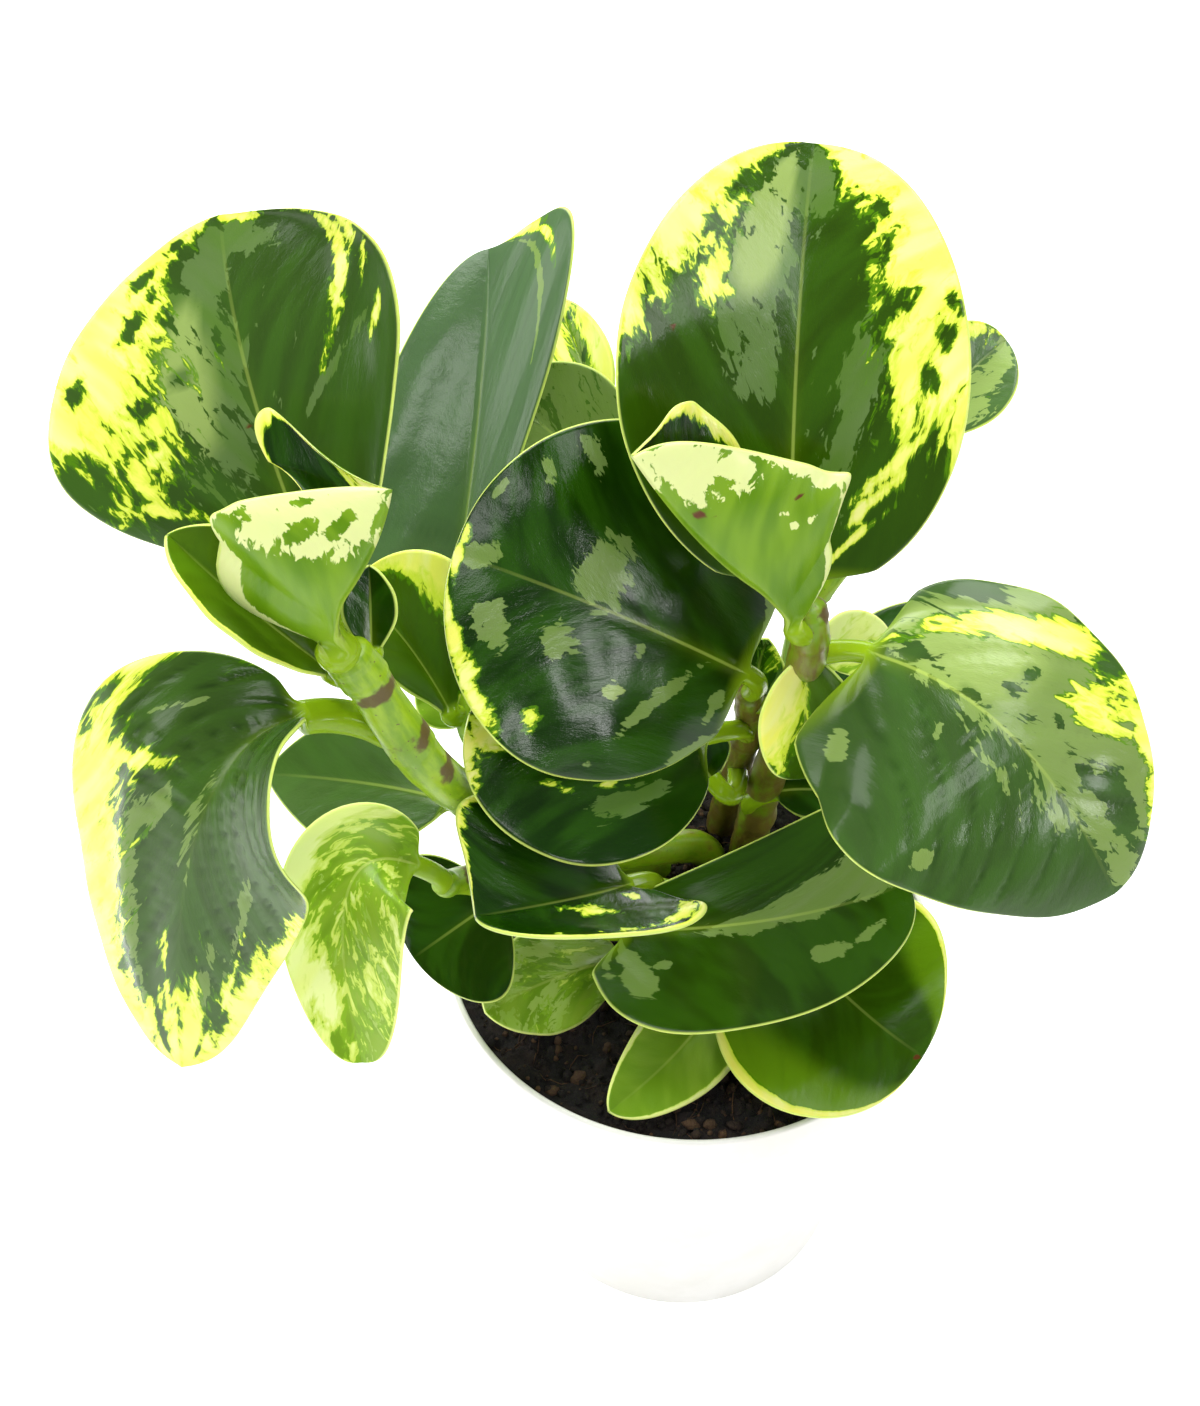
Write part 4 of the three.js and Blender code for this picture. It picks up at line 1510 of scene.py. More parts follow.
STEMS: tuple[Stem, ...] = (
    Stem(
        "stem_left", flush=(0.6, -0.05), scars=(0.35, 0.5, 0.67, 0.74, 0.84),
        rows=(
            (6.0, 32.0, 84.0, 4.2), (4.0, 30.0, 103.0, 4.4), (-22.0, 3.0, 134.0, 4.4),
            (-46.0, -15.0, 169.0, 4.6), (-57.0, -27.0, 194.0, 4.8), (-67.0, -27.0, 217.0, 4.8),
            (-72.0, -27.0, 228.0, 4.5),
        ),
    ),
    Stem(
        "stem_right", flush=(0.9, 0.55), scars=(0.55, 0.78, 0.93),
        rows=(
            (16.0, 32.0, 84.0, 4.5), (16.0, 31.0, 101.0, 4.5), (18.0, 12.0, 152.0, 4.2),
            (20.0, -10.0, 200.0, 4.0), (20.0, -17.0, 221.0, 3.8), (19.0, -16.0, 231.0, 3.2),
        ),
    ),
    Stem(
        "stem_middle", flush=(1.0, 0.7), scars=(0.5, 0.7, 0.82),
        rows=(
            (9.0, 44.0, 84.0, 3.8), (10.0, 41.0, 101.0, 3.8), (11.0, 27.0, 135.0, 3.6),
            (12.0, 11.0, 166.0, 3.4), (11.0, 4.0, 186.0, 3.0),
        ),
    ),
    Stem(
        "stem_low_left", flush=(0.5, 0.2), scars=(0.55, 0.8),
        rows=(
            (-6.0, 28.0, 84.0, 3.6), (-8.0, 26.0, 100.0, 3.6), (-32.0, -2.0, 126.0, 3.4),
            (-52.0, -11.0, 139.0, 3.2), (-58.0, -19.0, 147.0, 2.8),
        ),
    ),
    Stem(
        "stem_left_branch", flush=(0.0, -0.2), scars=(0.5,),
        rows=(
            (-44.0, -12.0, 166.0, 3.0), (-47.0, -5.0, 173.0, 2.8), (-51.0, 1.0, 178.0, 2.6),
            (-52.0, 8.0, 184.0, 2.4), (-52.0, 15.0, 191.0, 2.2),
        ),
    ),
    Stem(
        "stem_front", flush=(0.5, 0.1), scars=(0.5,),
        rows=(
            (2.0, 18.0, 84.0, 3.0), (0.0, 16.0, 100.0, 3.0), (-5.0, 8.0, 112.0, 2.8),
            (-8.0, 2.0, 120.0, 2.6),
        ),
    ),
    Stem(
        "stem_front_right", flush=(0.5, 0.2), scars=(0.5,),
        rows=(
            (26.0, 20.0, 84.0, 3.0), (26.0, 18.0, 98.0, 3.0), (25.0, 11.0, 104.0, 2.6),
        ),
    ),
    Stem(
        "stem_back", flush=(0.8, 0.1), scars=(0.4, 0.7),
        rows=(
            (0.0, 48.0, 84.0, 3.6), (0.0, 50.0, 101.0, 3.6), (-2.0, 58.0, 130.0, 3.2),
            (-6.0, 60.0, 160.0, 3.0), (-10.0, 62.0, 185.0, 2.6),
        ),
    ),
    Stem(
        "stem_back_right", flush=(0.8, 0.1), scars=(0.4, 0.7),
        rows=(
            (19.0, 43.0, 84.0, 3.4), (20.0, 45.0, 101.0, 3.4), (25.0, 51.0, 130.0, 3.2),
            (28.0, 56.0, 158.0, 3.0), (37.0, 58.0, 176.0, 2.6), (46.0, 60.0, 192.0, 2.4),
        ),
    ),
)

LEAVES: tuple[Leaf, ...] = (
    Leaf(
        "leaf_upper_left", on=("left", 0.98),
        base=(-75.0, -14.0, 227.0), middle=(-88.0, 3.0, 264.0), tip=(-94.0, 25.0, 292.0),
        facing=(-0.1, -0.7, 0.7),
        width=71.0, widest=0.5, ends=(0.75, 0.42), points=(1.9, 0.95), fold=(4.0, 0.0),
        curl=(-12.0, 50.0), bend=2.5, sides=(1.18, 0.98), skew=(-0.02, 0.2), cream_level=-0.8,
        sage_level=-0.42, fresh=0.16, grey=0.12,
        marks=(
            cream(0.7, -0.98, 0.3, 0.56, 0.12), cream(0.9, -0.85, 0.12, 0.3),
            cream(0.48, -0.62, 0.08, 0.16, 0.1), cream(1.0, 0.3, 0.03, 0.7),
            cream(0.72, 0.74, 0.05, 0.2, 0.85), cream(0.64, 0.85, 0.02, 0.08, 0.6),
            cream(0.5, 0.82, 0.015, 0.06, 0.5), cream(0.8, 0.95, 0.03, 0.08, 0.5),
            cream(0.34, -0.7, 0.02, 0.14, 0.3), cream(0.4, -0.85, 0.015, 0.1, 0.3),
            green(0.43, -0.98, 0.09, 0.3), green(0.86, -0.74, 0.03, 0.07),
            green(0.93, -0.72, 0.02, 0.08), green(0.78, -0.44, 0.03, 0.04),
            green(0.56, -0.52, 0.02, 0.04), green(0.48, -0.52, 0.02, 0.05),
            green(0.98, -0.4, 0.02, 0.1), green(0.8, -0.58, 0.05, 0.09),
            green(0.74, -0.63, 0.03, 0.05), green(0.64, -0.88, 0.025, 0.04),
            green(0.92, -0.44, 0.05, 0.08), green(0.61, -0.31, 0.02, 0.05),
            green(0.7, -0.1, 0.05, 0.03), sage(0.62, -0.24, 0.28, 0.22),
            sage(0.86, -0.2, 0.12, 0.2), sage(0.93, 0.2, 0.06, 0.25),
            sage(0.45, 0.46, 0.015, 0.22, 0.25), wash(0.6, -0.3, 0.2, 0.14),
            scar(0.46, -0.06, 0.008, 0.04),
        ),
    ),
    Leaf(
        "leaf_young_left", on=("left", 0.99),
        base=(-75.0, -33.0, 239.0), middle=(-65.0, -30.0, 253.0), tip=(-60.0, -24.0, 265.0),
        facing=(-0.8, 0.4, 0.4),
        width=56.0, widest=0.45, ends=(1.7, 0.45), fold=(65.0, 50.0), curl=(20.0, 45.0), bend=0.6,
        skew=(0.8, -0.3), sides=(1.05, 1.05), stalk=4.0, neck=(2.3, 3.0, -8.0), cream_level=-0.6,
        sage_level=-0.6, border=(0.08, 0.1), ragged=0.8,
        marks=(
            cream(0.8, 0.6, 0.34, 0.62), cream(0.92, -0.3, 0.12, 0.4),
            green(0.5, 0.86, 0.12, 0.09), green(0.62, 0.5, 0.12, 0.08),
            green(0.74, 0.3, 0.1, 0.06), green(0.84, 0.75, 0.06, 0.07),
            green(0.78, 0.05, 0.08, 0.05),
        ),
    ),
    # The upper back leaf's grey share is a painted sheen of reflected light, and its pale streak
    # marks are painted sheen streaks
    Leaf(
        "leaf_upper_back", on=("left_branch", 0.98),
        base=(-55.0, 29.0, 190.0), middle=(-49.0, 57.0, 225.0), tip=(-47.0, 83.0, 248.0),
        facing=(0.1, -0.7, 0.7),
        width=50.0, widest=0.5, ends=(0.7, 0.6), fold=(5.0, 50.0), curl=(0.0, -10.0),
        skew=(-0.45, 0.45), sides=(1.15, 1.0), cream_level=-1.0, sage_level=-1.0, fresh=0.1,
        grey=0.75, wash=0.4, ragged=0.5, line=0.2,
        marks=(
            wash(0.5, 0.42, 0.45, 0.05), sage(0.62, 0.66, 0.3, 0.03), wash(0.55, 0.2, 0.3, 0.04),
            cream(0.72, 0.8, 0.14, 0.03), cream(0.9, 0.85, 0.1, 0.12),
        ),
    ),
    Leaf(
        "leaf_upper_right", on=("right", 0.97),
        base=(16.0, -10.0, 228.0), middle=(16.0, 12.0, 270.0), tip=(19.0, 39.0, 299.0),
        facing=(0.0, -0.7, 0.7),
        width=69.0, widest=0.46, ends=(0.55, 0.5), points=(1.0, 0.8), fold=(6.0, 6.0),
        curl=(8.0, 8.0), sides=(1.03, 0.97), skew=(0.0, -0.03), cream_level=-0.75,
        sage_level=-0.45, fresh=0.13,
        marks=(
            cream(0.72, 1.0, 0.42, 0.47), cream(0.95, 0.6, 0.1, 0.3),
            cream(0.47, 0.64, 0.09, 0.1), cream(0.3, 0.68, 0.02, 0.2, 0.45),
            cream(0.2, 0.57, 0.02, 0.13, 0.4), cream(0.1, 0.5, 0.015, 0.15, 0.4),
            cream(0.86, -0.9, 0.2, 0.36), cream(0.66, -0.52, 0.08, 0.08),
            cream(0.62, -1.0, 0.1, 0.14), green(0.86, -0.62, 0.06, 0.1),
            green(0.76, -0.66, 0.03, 0.08), green(0.65, 0.93, 0.03, 0.05),
            green(0.64, 0.63, 0.03, 0.05), green(0.58, 0.86, 0.03, 0.05),
            green(0.84, 0.62, 0.03, 0.06), green(0.47, 0.77, 0.03, 0.06),
            sage(0.72, -0.26, 0.27, 0.2), sage(0.5, -0.2, 0.12, 0.08, 0.4),
            sage(0.9, 0.08, 0.1, 0.14), wash(0.8, -0.3, 0.2, 0.2),
            sage(0.4, 0.34, 0.15, 0.14, 0.6), scar(0.54, -0.71, 0.01, 0.03),
            scar(0.45, -0.45, 0.006, 0.014),
        ),
    ),
    Leaf(
        "leaf_young_right", on=("right", 0.84),
        base=(16.0, -20.0, 233.0), middle=(-0.0, -20.0, 246.0), tip=(-16.0, -18.0, 268.0),
        facing=(0.7, 0.5, 0.5),
        width=62.0, widest=0.42, ends=(1.8, 0.45), fold=(50.0, 50.0), curl=(45.0, 40.0), bend=0.6,
        skew=(-0.2, 0.35), sides=(0.92, 0.62), stalk=2.6, neck=(0.5, 0.0, -6.0), cream_level=-0.6,
        sage_level=-0.6, border=(0.07, 0.12),
        marks=(
            cream(0.92, -0.5, 0.16, 0.5), cream(0.6, -1.0, 0.26, 0.16),
            cream(0.55, -0.55, 0.03, 0.03), cream(0.45, -0.5, 0.03, 0.03),
            cream(0.4, -0.62, 0.02, 0.03), green(0.8, -0.5, 0.03, 0.1),
            green(0.62, -0.85, 0.04, 0.08), scar(0.72, -0.15, 0.025, 0.05),
            scar(0.69, -0.21, 0.012, 0.03), scar(0.58, -0.73, 0.014, 0.05),
        ),
    ),
    Leaf(
        "leaf_centre", on=("middle", 0.98),
        base=(9.0, -2.0, 197.0), middle=(-21.0, -7.0, 220.0), tip=(-51.0, -8.0, 236.0),
        facing=(0.0, -0.7, 0.7),
        width=75.0, widest=0.5, ends=(0.45, 0.45), fold=(4.0, 4.0), curl=(-8.0, -8.0),
        lobe=(0.05, 0.05), sides=(0.95, 1.05), cream_level=-0.9, sage_level=-0.7, wash=0.35,
        ragged=0.65,
        marks=(
            sage(0.55, 0.17, 0.08, 0.18), sage(0.81, 0.72, 0.02, 0.12, 0.25),
            sage(0.7, 0.78, 0.025, 0.14, 0.37), sage(0.93, 0.75, 0.02, 0.08),
            sage(0.93, 0.08, 0.06, 0.14), sage(0.83, -0.4, 0.06, 0.16),
            sage(0.6, -0.27, 0.07, 0.1), sage(0.35, -0.14, 0.02, 0.05),
            sage(0.39, -0.42, 0.03, 0.06), sage(0.26, -0.46, 0.03, 0.3, 0.3),
            sage(0.07, -0.5, 0.02, 0.22, 0.05), sage(0.1, -0.95, 0.06, 0.1),
            sage(0.04, 0.85, 0.04, 0.12), wash(0.39, -0.42, 0.05, 0.1),
            cream(0.61, -0.76, 0.03, 0.06), cream(0.93, -0.85, 0.1, 0.14),
            cream(0.8, -0.93, 0.08, 0.08), cream(0.99, 0.0, 0.02, 0.6),
        ),
    ),
    Leaf(
        "leaf_right", on=("right", 0.72),
        base=(32.0, -19.0, 219.0), middle=(58.0, -38.0, 215.0), tip=(81.0, -52.0, 184.0),
        facing=(0.1, -0.6, 0.8),
        width=65.0, widest=0.45, ends=(0.4, 0.45), fold=(5.0, 0.0), curl=(-15.0, -12.0),
        lobe=(0.0, 0.2), sides=(0.85, 1.2), cream_level=-0.95, sage_level=-0.8, grooves=0.45,
        fresh=0.15, grey=0.22, wash=0.5,
        marks=(
            sage(0.5, -0.5, 0.5, 0.56), wash(0.22, -0.4, 0.26, 0.5),
            cream(0.36, -0.72, 0.1, 0.36, 0.7), cream(0.62, -0.68, 0.06, 0.18, 0.2),
            cream(0.76, -1.0, 0.16, 0.14), green(0.43, -0.41, 0.02, 0.07),
            green(0.42, -0.24, 0.02, 0.05), green(0.33, -0.04, 0.03, 0.05),
            green(0.57, -0.95, 0.06, 0.18), green(0.72, -0.24, 0.035, 0.08),
            green(0.82, -0.5, 0.07, 0.2, 0.2), green(0.57, -0.34, 0.02, 0.04),
            green(0.15, -0.95, 0.14, 0.22), green(0.4, -1.08, 0.14, 0.14),
            sage(0.1, 0.69, 0.03, 0.08), sage(0.33, 0.26, 0.015, 0.03),
            sage(0.6, 0.8, 0.03, 0.06), sage(0.76, 0.08, 0.03, 0.05),
        ),
    ),
    Leaf(
        "leaf_drooping_left", on=("left", 0.73),
        base=(-81.0, -29.0, 211.0), middle=(-102.0, -44.0, 195.0), tip=(-114.0, -54.0, 127.0),
        facing=(-0.1, -0.4, 1.1),
        width=58.0, widest=0.5, ends=(0.75, 0.45), fold=(52.0, 30.0), fold_tip=(-20.0, -5.0),
        curl=(10.0, -5.0), curl_tip=(-20.0, -15.0), sides=(0.92, 1.2), stalk=3.6,
        cream_level=-0.9, sage_level=-0.8, grooves=0.8, fresh=0.2, grey=0.15, wash=0.4, rake=2.4,
        line=0.04, ridge=(0.45, 2.4),
        marks=(
            cream(0.74, 1.0, 0.4, 0.48), cream(0.28, 1.0, 0.12, 0.1),
            cream(0.45, 0.58, 0.02, 0.26, 0.2), cream(1.0, 0.0, 0.12, 0.8),
            cream(0.9, -0.9, 0.14, 0.3), cream(0.74, -0.95, 0.1, 0.1),
            sage(0.29, 0.58, 0.022, 0.1, 0.7), sage(0.52, 0.31, 0.04, 0.1, 0.2),
            sage(0.86, -0.25, 0.06, 0.08), sage(0.72, 0.42, 0.22, 0.05),
            sage(0.5, 0.03, 0.1, 0.035, 0.3), sage(0.67, -0.5, 0.13, 0.035, 0.3),
            cream(0.86, -0.55, 0.12, 0.03, 0.3), cream(0.9, -0.2, 0.1, 0.03, 0.3),
            cream(0.88, 0.12, 0.1, 0.035, 0.3), green(0.93, -0.38, 0.08, 0.04),
            green(0.93, -0.02, 0.08, 0.04), green(0.92, 0.3, 0.08, 0.05),
        ),
    ),
    Leaf(
        "leaf_hanging_left", on=("low_left", 0.99),
        base=(-62.0, -26.0, 162.0), middle=(-76.0, -35.0, 163.0), tip=(-74.0, -55.0, 130.0),
        facing=(-0.3, -0.5, 0.9),
        width=30.0, widest=0.45, ends=(0.5, 0.38), fold=(10.0, 10.0), curl=(20.0, 20.0),
        sides=(1.3, 1.0), pale=True, cream_level=-0.12, sage_level=-0.2,
        marks=(
            cream(0.55, 0.9, 0.45, 0.3), cream(0.8, 0.5, 0.12, 0.3),
        ),
    ),
    Leaf(
        "leaf_centre_low", on=("middle", 0.72),
        base=(1.0, -4.0, 180.0), middle=(-24.0, -15.0, 189.0), tip=(-49.0, -18.0, 201.0),
        facing=(0.0, -0.7, 0.7),
        width=52.0, widest=0.5, ends=(0.45, 0.45), fold=(4.0, 4.0), curl=(10.0, 10.0),
        cream_level=-0.85, sage_level=-0.55,
        marks=(
            sage(0.35, -0.5, 0.12, 0.1, 0.3), cream(0.92, -0.2, 0.07, 0.2),
            cream(0.61, -0.4, 0.05, 0.04), cream(0.43, -0.34, 0.04, 0.03),
            cream(0.97, -0.8, 0.05, 0.3),
        ),
    ),
    Leaf(
        "leaf_front_folded", on=("front", 0.97),
        base=(-16.0, -20.0, 148.0), middle=(-29.0, -35.0, 161.0), tip=(-48.0, -46.0, 169.0),
        facing=(0.0, -0.6, 0.8),
        width=44.0, widest=0.5, ends=(0.6, 0.45), fold=(45.0, 5.0), curl=(20.0, 5.0),
        skew=(-0.35, 0.4), sides=(1.0, 1.15), cream_level=-0.85, sage_level=-0.75,
        border=(0.05, 0.05),
        marks=(
            cream(0.95, 0.9, 0.1, 0.1), cream(0.72, 1.0, 0.16, 0.08),
            cream(0.58, -0.28, 0.07, 0.1), cream(0.2, -0.3, 0.05, 0.1),
            cream(0.45, -0.85, 0.25, 0.06),
        ),
    ),
    Leaf(
        "leaf_front", on=("front", 0.72),
        base=(-17.0, -18.0, 129.0), middle=(18.0, -24.0, 141.0), tip=(47.0, -21.0, 150.0),
        facing=(0.0, -0.5, 0.9),
        width=50.0, widest=0.5, ends=(0.6, 0.5), points=(1.0, 0.8), fold=(6.0, 6.0),
        curl=(8.0, 8.0), lobe=(0.1, 0.1), skew=(0.4, -0.2), sides=(0.9, 1.0), cream_level=-1.0,
        sage_level=-0.75, fresh=0.08, wash=0.35, ragged=0.5,
        marks=(
            sage(0.42, -0.02, 0.16, 0.12), sage(0.62, -0.18, 0.2, 0.24, 0.3),
            sage(0.82, -0.42, 0.2, 0.4), sage(0.14, 0.62, 0.09, 0.2, 0.3),
            sage(0.05, 0.8, 0.05, 0.1), sage(0.2, 0.43, 0.03, 0.06),
            sage(0.72, 0.44, 0.05, 0.1, 0.3), sage(0.85, 0.42, 0.04, 0.08),
        ),
    ),
    Leaf(
        "leaf_front_right", on=("front_right", 0.98),
        base=(21.0, -3.0, 114.0), middle=(35.0, -30.0, 120.0), tip=(51.0, -46.0, 119.0),
        facing=(0.0, -0.6, 0.8),
        width=55.0, widest=0.5, ends=(0.45, 0.45), fold=(6.0, 6.0), curl=(8.0, 8.0),
        sides=(1.0, 1.16), cream_level=-1.0, sage_level=-1.0, border=(0.05, 0.08), fresh=0.15,
        ragged=0.3,
        marks=(
            # The lime areas along both edges are yellow-green colour and a painted glow of light
            # shining through them
            lime(0.6, 0.9, 0.45, 0.4), lime(0.75, -0.85, 0.3, 0.35), scar(0.975, 0.1, 0.02, 0.08),
        ),
    ),
    Leaf(
        "leaf_rim_front", on=("front", 0.5),
        base=(11.0, -10.0, 107.0), middle=(-1.0, -31.0, 105.0), tip=(-20.0, -52.0, 106.0),
        facing=(0.0, -0.6, 0.8),
        width=25.0, widest=0.5, ends=(0.5, 0.5), fold=(15.0, 15.0), pale=True, cream_level=-1.0,
        sage_level=-1.0, border=(0.1, 0.1), fresh=0.4, ragged=0.5,
        marks=(
            wash(0.5, 0.1, 0.5, 0.75),
        ),
    ),
    Leaf(
        "leaf_rim_left", on=("low_left", 0.3),
        base=(-17.0, -8.0, 106.0), middle=(-34.0, -17.0, 109.0), tip=(-49.0, -28.0, 111.0),
        facing=(0.0, -0.6, 0.8),
        width=26.0, widest=0.55, ends=(0.5, 0.5), fold=(10.0, 10.0), pale=True, cream_level=-0.25,
        sage_level=0.0, ragged=0.8,
    ),
    Leaf(
        "leaf_low_left", on=("low_left", 0.75),
        base=(-46.0, -9.0, 130.0), middle=(-56.0, -13.0, 124.0), tip=(-66.0, -18.0, 119.0),
        facing=(0.0, -0.6, 0.8),
        width=40.0, widest=0.5, ends=(0.5, 0.5), fold=(5.0, 5.0), cream_level=-1.0,
        sage_level=-0.9,
    ),
    Leaf(
        "leaf_behind_left", on=("left", 0.55),
        base=(-55.0, -10.0, 165.0), middle=(-74.0, -2.0, 162.0), tip=(-98.0, 2.0, 161.0),
        facing=(0.0, -0.5, 0.9),
        width=34.0, widest=0.5, ends=(0.6, 0.7), fold=(5.0, 5.0), cream_level=-1.0,
        sage_level=-0.9, fresh=0.25, grey=0.3,
        marks=(
            scar(1.0, 0.0, 0.03, 0.5),
        ),
    ),
    Leaf(
        "leaf_inner_left", on=("left_branch", 0.6),
        base=(-55.0, 1.0, 182.0), middle=(-65.0, 8.0, 198.0), tip=(-76.0, 14.0, 207.0),
        facing=(0.0, -0.7, 0.7),
        width=40.0, widest=0.55, ends=(0.8, 0.5), fold=(50.0, 0.0), curl=(0.0, 10.0),
        sides=(0.6, 1.0), cream_level=-0.6, sage_level=-0.6, fresh=0.3, ragged=0.5,
        marks=(
            cream(0.7, 0.95, 0.4, 0.4), cream(0.45, 1.05, 0.5, 0.4),
        ),
    ),
    Leaf(
        "leaf_narrow_left", on=("left", 0.9),
        base=(-76.0, -22.0, 217.0), middle=(-91.0, -22.0, 235.0), tip=(-104.0, -19.0, 250.0),
        facing=(0.3, -0.4, 1.1),
        width=26.0, widest=0.55, ends=(0.6, 0.6), fold=(30.0, 30.0), cream_level=-1.0,
        sage_level=-0.9, border=(0.06, 0.06), fresh=0.55,
    ),
    Leaf(
        "leaf_back_folded", on=("back", 0.98),
        base=(-22.0, 77.0, 205.0), middle=(-27.0, 89.0, 214.0), tip=(-33.0, 102.0, 222.0),
        facing=(0.5, -0.7, 0.7),
        width=19.0, widest=0.45, ends=(0.7, 0.6), fold=(15.0, 60.0), cream_level=-0.1,
        sage_level=0.1, grey=0.4, wash=0.6,
        marks=(
            cream(0.5, 0.8, 0.6, 0.5), cream(0.6, -0.6, 0.4, 0.3),
        ),
    ),
    Leaf(
        "leaf_back_centre", on=("back", 0.8),
        base=(-22.0, 52.0, 203.0), middle=(-32.0, 58.0, 214.0), tip=(-45.0, 63.0, 222.0),
        facing=(0.0, -0.7, 0.7),
        width=36.0, widest=0.5, ends=(0.6, 0.5), fold=(10.0, 10.0), cream_level=-1.0,
        sage_level=0.1, fresh=0.6, grey=0.3, wash=0.5,
    ),
    Leaf(
        "leaf_back_right", on=("back_right", 0.98),
        base=(51.0, 67.0, 206.0), middle=(62.0, 75.0, 217.0), tip=(73.0, 82.0, 224.0),
        facing=(0.0, -0.7, 0.7),
        width=26.0, widest=0.55, ends=(0.6, 0.5), fold=(20.0, 20.0), cream_level=-0.5,
        sage_level=-0.1, fresh=0.3, grey=0.5, wash=0.8,
        marks=(
            sage(0.5, 0.4, 0.5, 0.4), cream(0.6, -0.8, 0.4, 0.3),
        ),
    ),
    Leaf(
        "leaf_small_cupped", on=("right", 0.84),
        base=(20.0, -16.0, 215.0), middle=(20.0, -21.0, 204.0), tip=(20.0, -28.0, 192.0),
        facing=(0.0, -0.5, 0.9),
        width=23.0, widest=0.55, ends=(0.5, 0.3), fold=(14.0, 22.0), curl=(15.0, 15.0),
        cream_level=-0.9, sage_level=-0.9, fresh=0.3, ragged=0.6,
        marks=(
            cream(0.36, 0.8, 0.5, 0.7),
        ),
    ),
    Leaf(
        "leaf_pale_right", on=("right", 0.66),
        base=(28.0, 8.0, 190.0), middle=(34.0, 11.0, 193.0), tip=(42.0, 13.0, 194.0),
        facing=(0.0, -0.7, 0.7),
        width=16.0, widest=0.5, ends=(0.6, 0.6), fold=(10.0, 10.0), pale=True, cream_level=0.3,
        sage_level=-1.0,
    ),
    Leaf(
        "leaf_small_mottled", on=("middle", 0.92),
        base=(13.0, 5.0, 182.0), middle=(13.0, 9.0, 188.0), tip=(15.0, 12.0, 194.0),
        facing=(0.0, -0.7, 0.7),
        width=12.0, widest=0.5, ends=(0.6, 0.6), fold=(10.0, 10.0), cream_level=-0.2,
        sage_level=0.0,
    ),
    Leaf(
        "leaf_small_left", on=("left", 0.9),
        base=(-67.0, -23.0, 224.0), middle=(-67.0, -18.0, 231.0), tip=(-67.0, -14.0, 238.0),
        facing=(0.0, -0.7, 0.7),
        width=12.0, widest=0.5, ends=(0.7, 0.6), fold=(20.0, 20.0), cream_level=-1.0,
        sage_level=-0.9,
    ),
    Leaf(
        "leaf_pale_inner", on=("left_branch", 0.45),
        base=(-52.0, 15.0, 166.0), middle=(-58.0, 18.0, 169.0), tip=(-64.0, 21.0, 172.0),
        facing=(0.0, -0.7, 0.7),
        width=14.0, widest=0.5, ends=(0.6, 0.6), fold=(10.0, 10.0), pale=True, cream_level=-0.3,
        sage_level=-1.0,
    ),
    Leaf(
        "leaf_small_middle", on=("middle", 0.55),
        base=(4.0, 5.0, 156.0), middle=(1.0, 8.0, 158.0), tip=(-3.0, 9.0, 162.0),
        facing=(0.0, -0.7, 0.7),
        width=18.0, widest=0.5, ends=(0.6, 0.6), fold=(10.0, 10.0), cream_level=-0.8,
        sage_level=-0.7,
    ),
    Leaf(
        "leaf_small_low", on=("right", 0.3),
        base=(20.0, 14.0, 142.0), middle=(28.0, 13.0, 144.0), tip=(37.0, 11.0, 144.0),
        facing=(0.0, -0.7, 0.7),
        width=14.0, widest=0.5, ends=(0.6, 0.6), fold=(10.0, 10.0), cream_level=-0.7,
        sage_level=-0.5,
    ),
    Leaf(
        "leaf_far_left", on=("back", 0.45),
        base=(-8.0, 66.0, 128.0), middle=(-20.0, 88.0, 140.0), tip=(-34.0, 110.0, 138.0),
        facing=(0.0, -0.2, 1.0),
        width=44.0, fold=(8.0, 8.0), curl=(8.0, 8.0), cream_level=-0.75, sage_level=-0.5,
        marks=(
            cream(0.6, 0.95, 0.4, 0.35),
        ),
    ),
    Leaf(
        "leaf_far_right", on=("back", 0.6),
        base=(6.0, 64.0, 150.0), middle=(18.0, 88.0, 168.0), tip=(30.0, 108.0, 172.0),
        facing=(0.1, -0.3, 1.0),
        width=46.0, fold=(8.0, 8.0), curl=(8.0, 8.0), cream_level=-0.8, sage_level=-0.5,
        marks=(
            sage(0.5, -0.4, 0.3, 0.2), cream(0.8, 0.9, 0.2, 0.3),
        ),
    ),
    Leaf(
        "leaf_side_left", on=("back", 0.5),
        base=(-16.0, 50.0, 140.0), middle=(-40.0, 58.0, 150.0), tip=(-66.0, 62.0, 146.0),
        facing=(0.0, -0.4, 1.0),
        width=44.0, fold=(8.0, 8.0), curl=(8.0, 8.0), cream_level=-0.75, sage_level=-0.5,
        marks=(
            cream(0.7, -0.95, 0.4, 0.3),
        ),
    ),
    Leaf(
        "leaf_side_right", on=("right", 0.5),
        base=(34.0, 32.0, 150.0), middle=(58.0, 42.0, 154.0), tip=(84.0, 46.0, 148.0),
        facing=(0.2, -0.3, 1.0),
        width=38.0, fold=(8.0, 8.0), curl=(8.0, 8.0), cream_level=-0.8, sage_level=-0.5,
        marks=(
            sage(0.5, 0.4, 0.3, 0.25),
        ),
    ),
    Leaf(
        "leaf_far_low", on=("back_right", 0.4),
        base=(34.0, 57.0, 122.0), middle=(48.0, 68.0, 130.0), tip=(62.0, 80.0, 127.0),
        facing=(0.2, 0.1, 1.0),
        width=34.0, fold=(8.0, 8.0), curl=(8.0, 8.0), cream_level=-0.7, sage_level=-0.5,
        marks=(
            cream(0.6, 1.0, 0.5, 0.4),
        ),
    ),
    Leaf(
        "leaf_back_high", on=("back", 0.89),
        base=(-3.0, 70.0, 196.0), middle=(6.0, 80.0, 214.0), tip=(16.0, 88.0, 232.0),
        facing=(0.2, -0.8, 0.5),
        width=36.0, fold=(8.0, 8.0), curl=(8.0, 8.0), cream_level=-1.0, sage_level=-0.7,
    ),
    Leaf(
        "leaf_back_tall", on=("back_right", 0.72),
        base=(36.0, 68.0, 182.0), middle=(42.0, 82.0, 202.0), tip=(48.0, 92.0, 218.0),
        facing=(0.1, -0.8, 0.5),
        width=29.0, fold=(8.0, 8.0), curl=(8.0, 8.0), cream_level=-0.85, sage_level=-0.6,
        marks=(
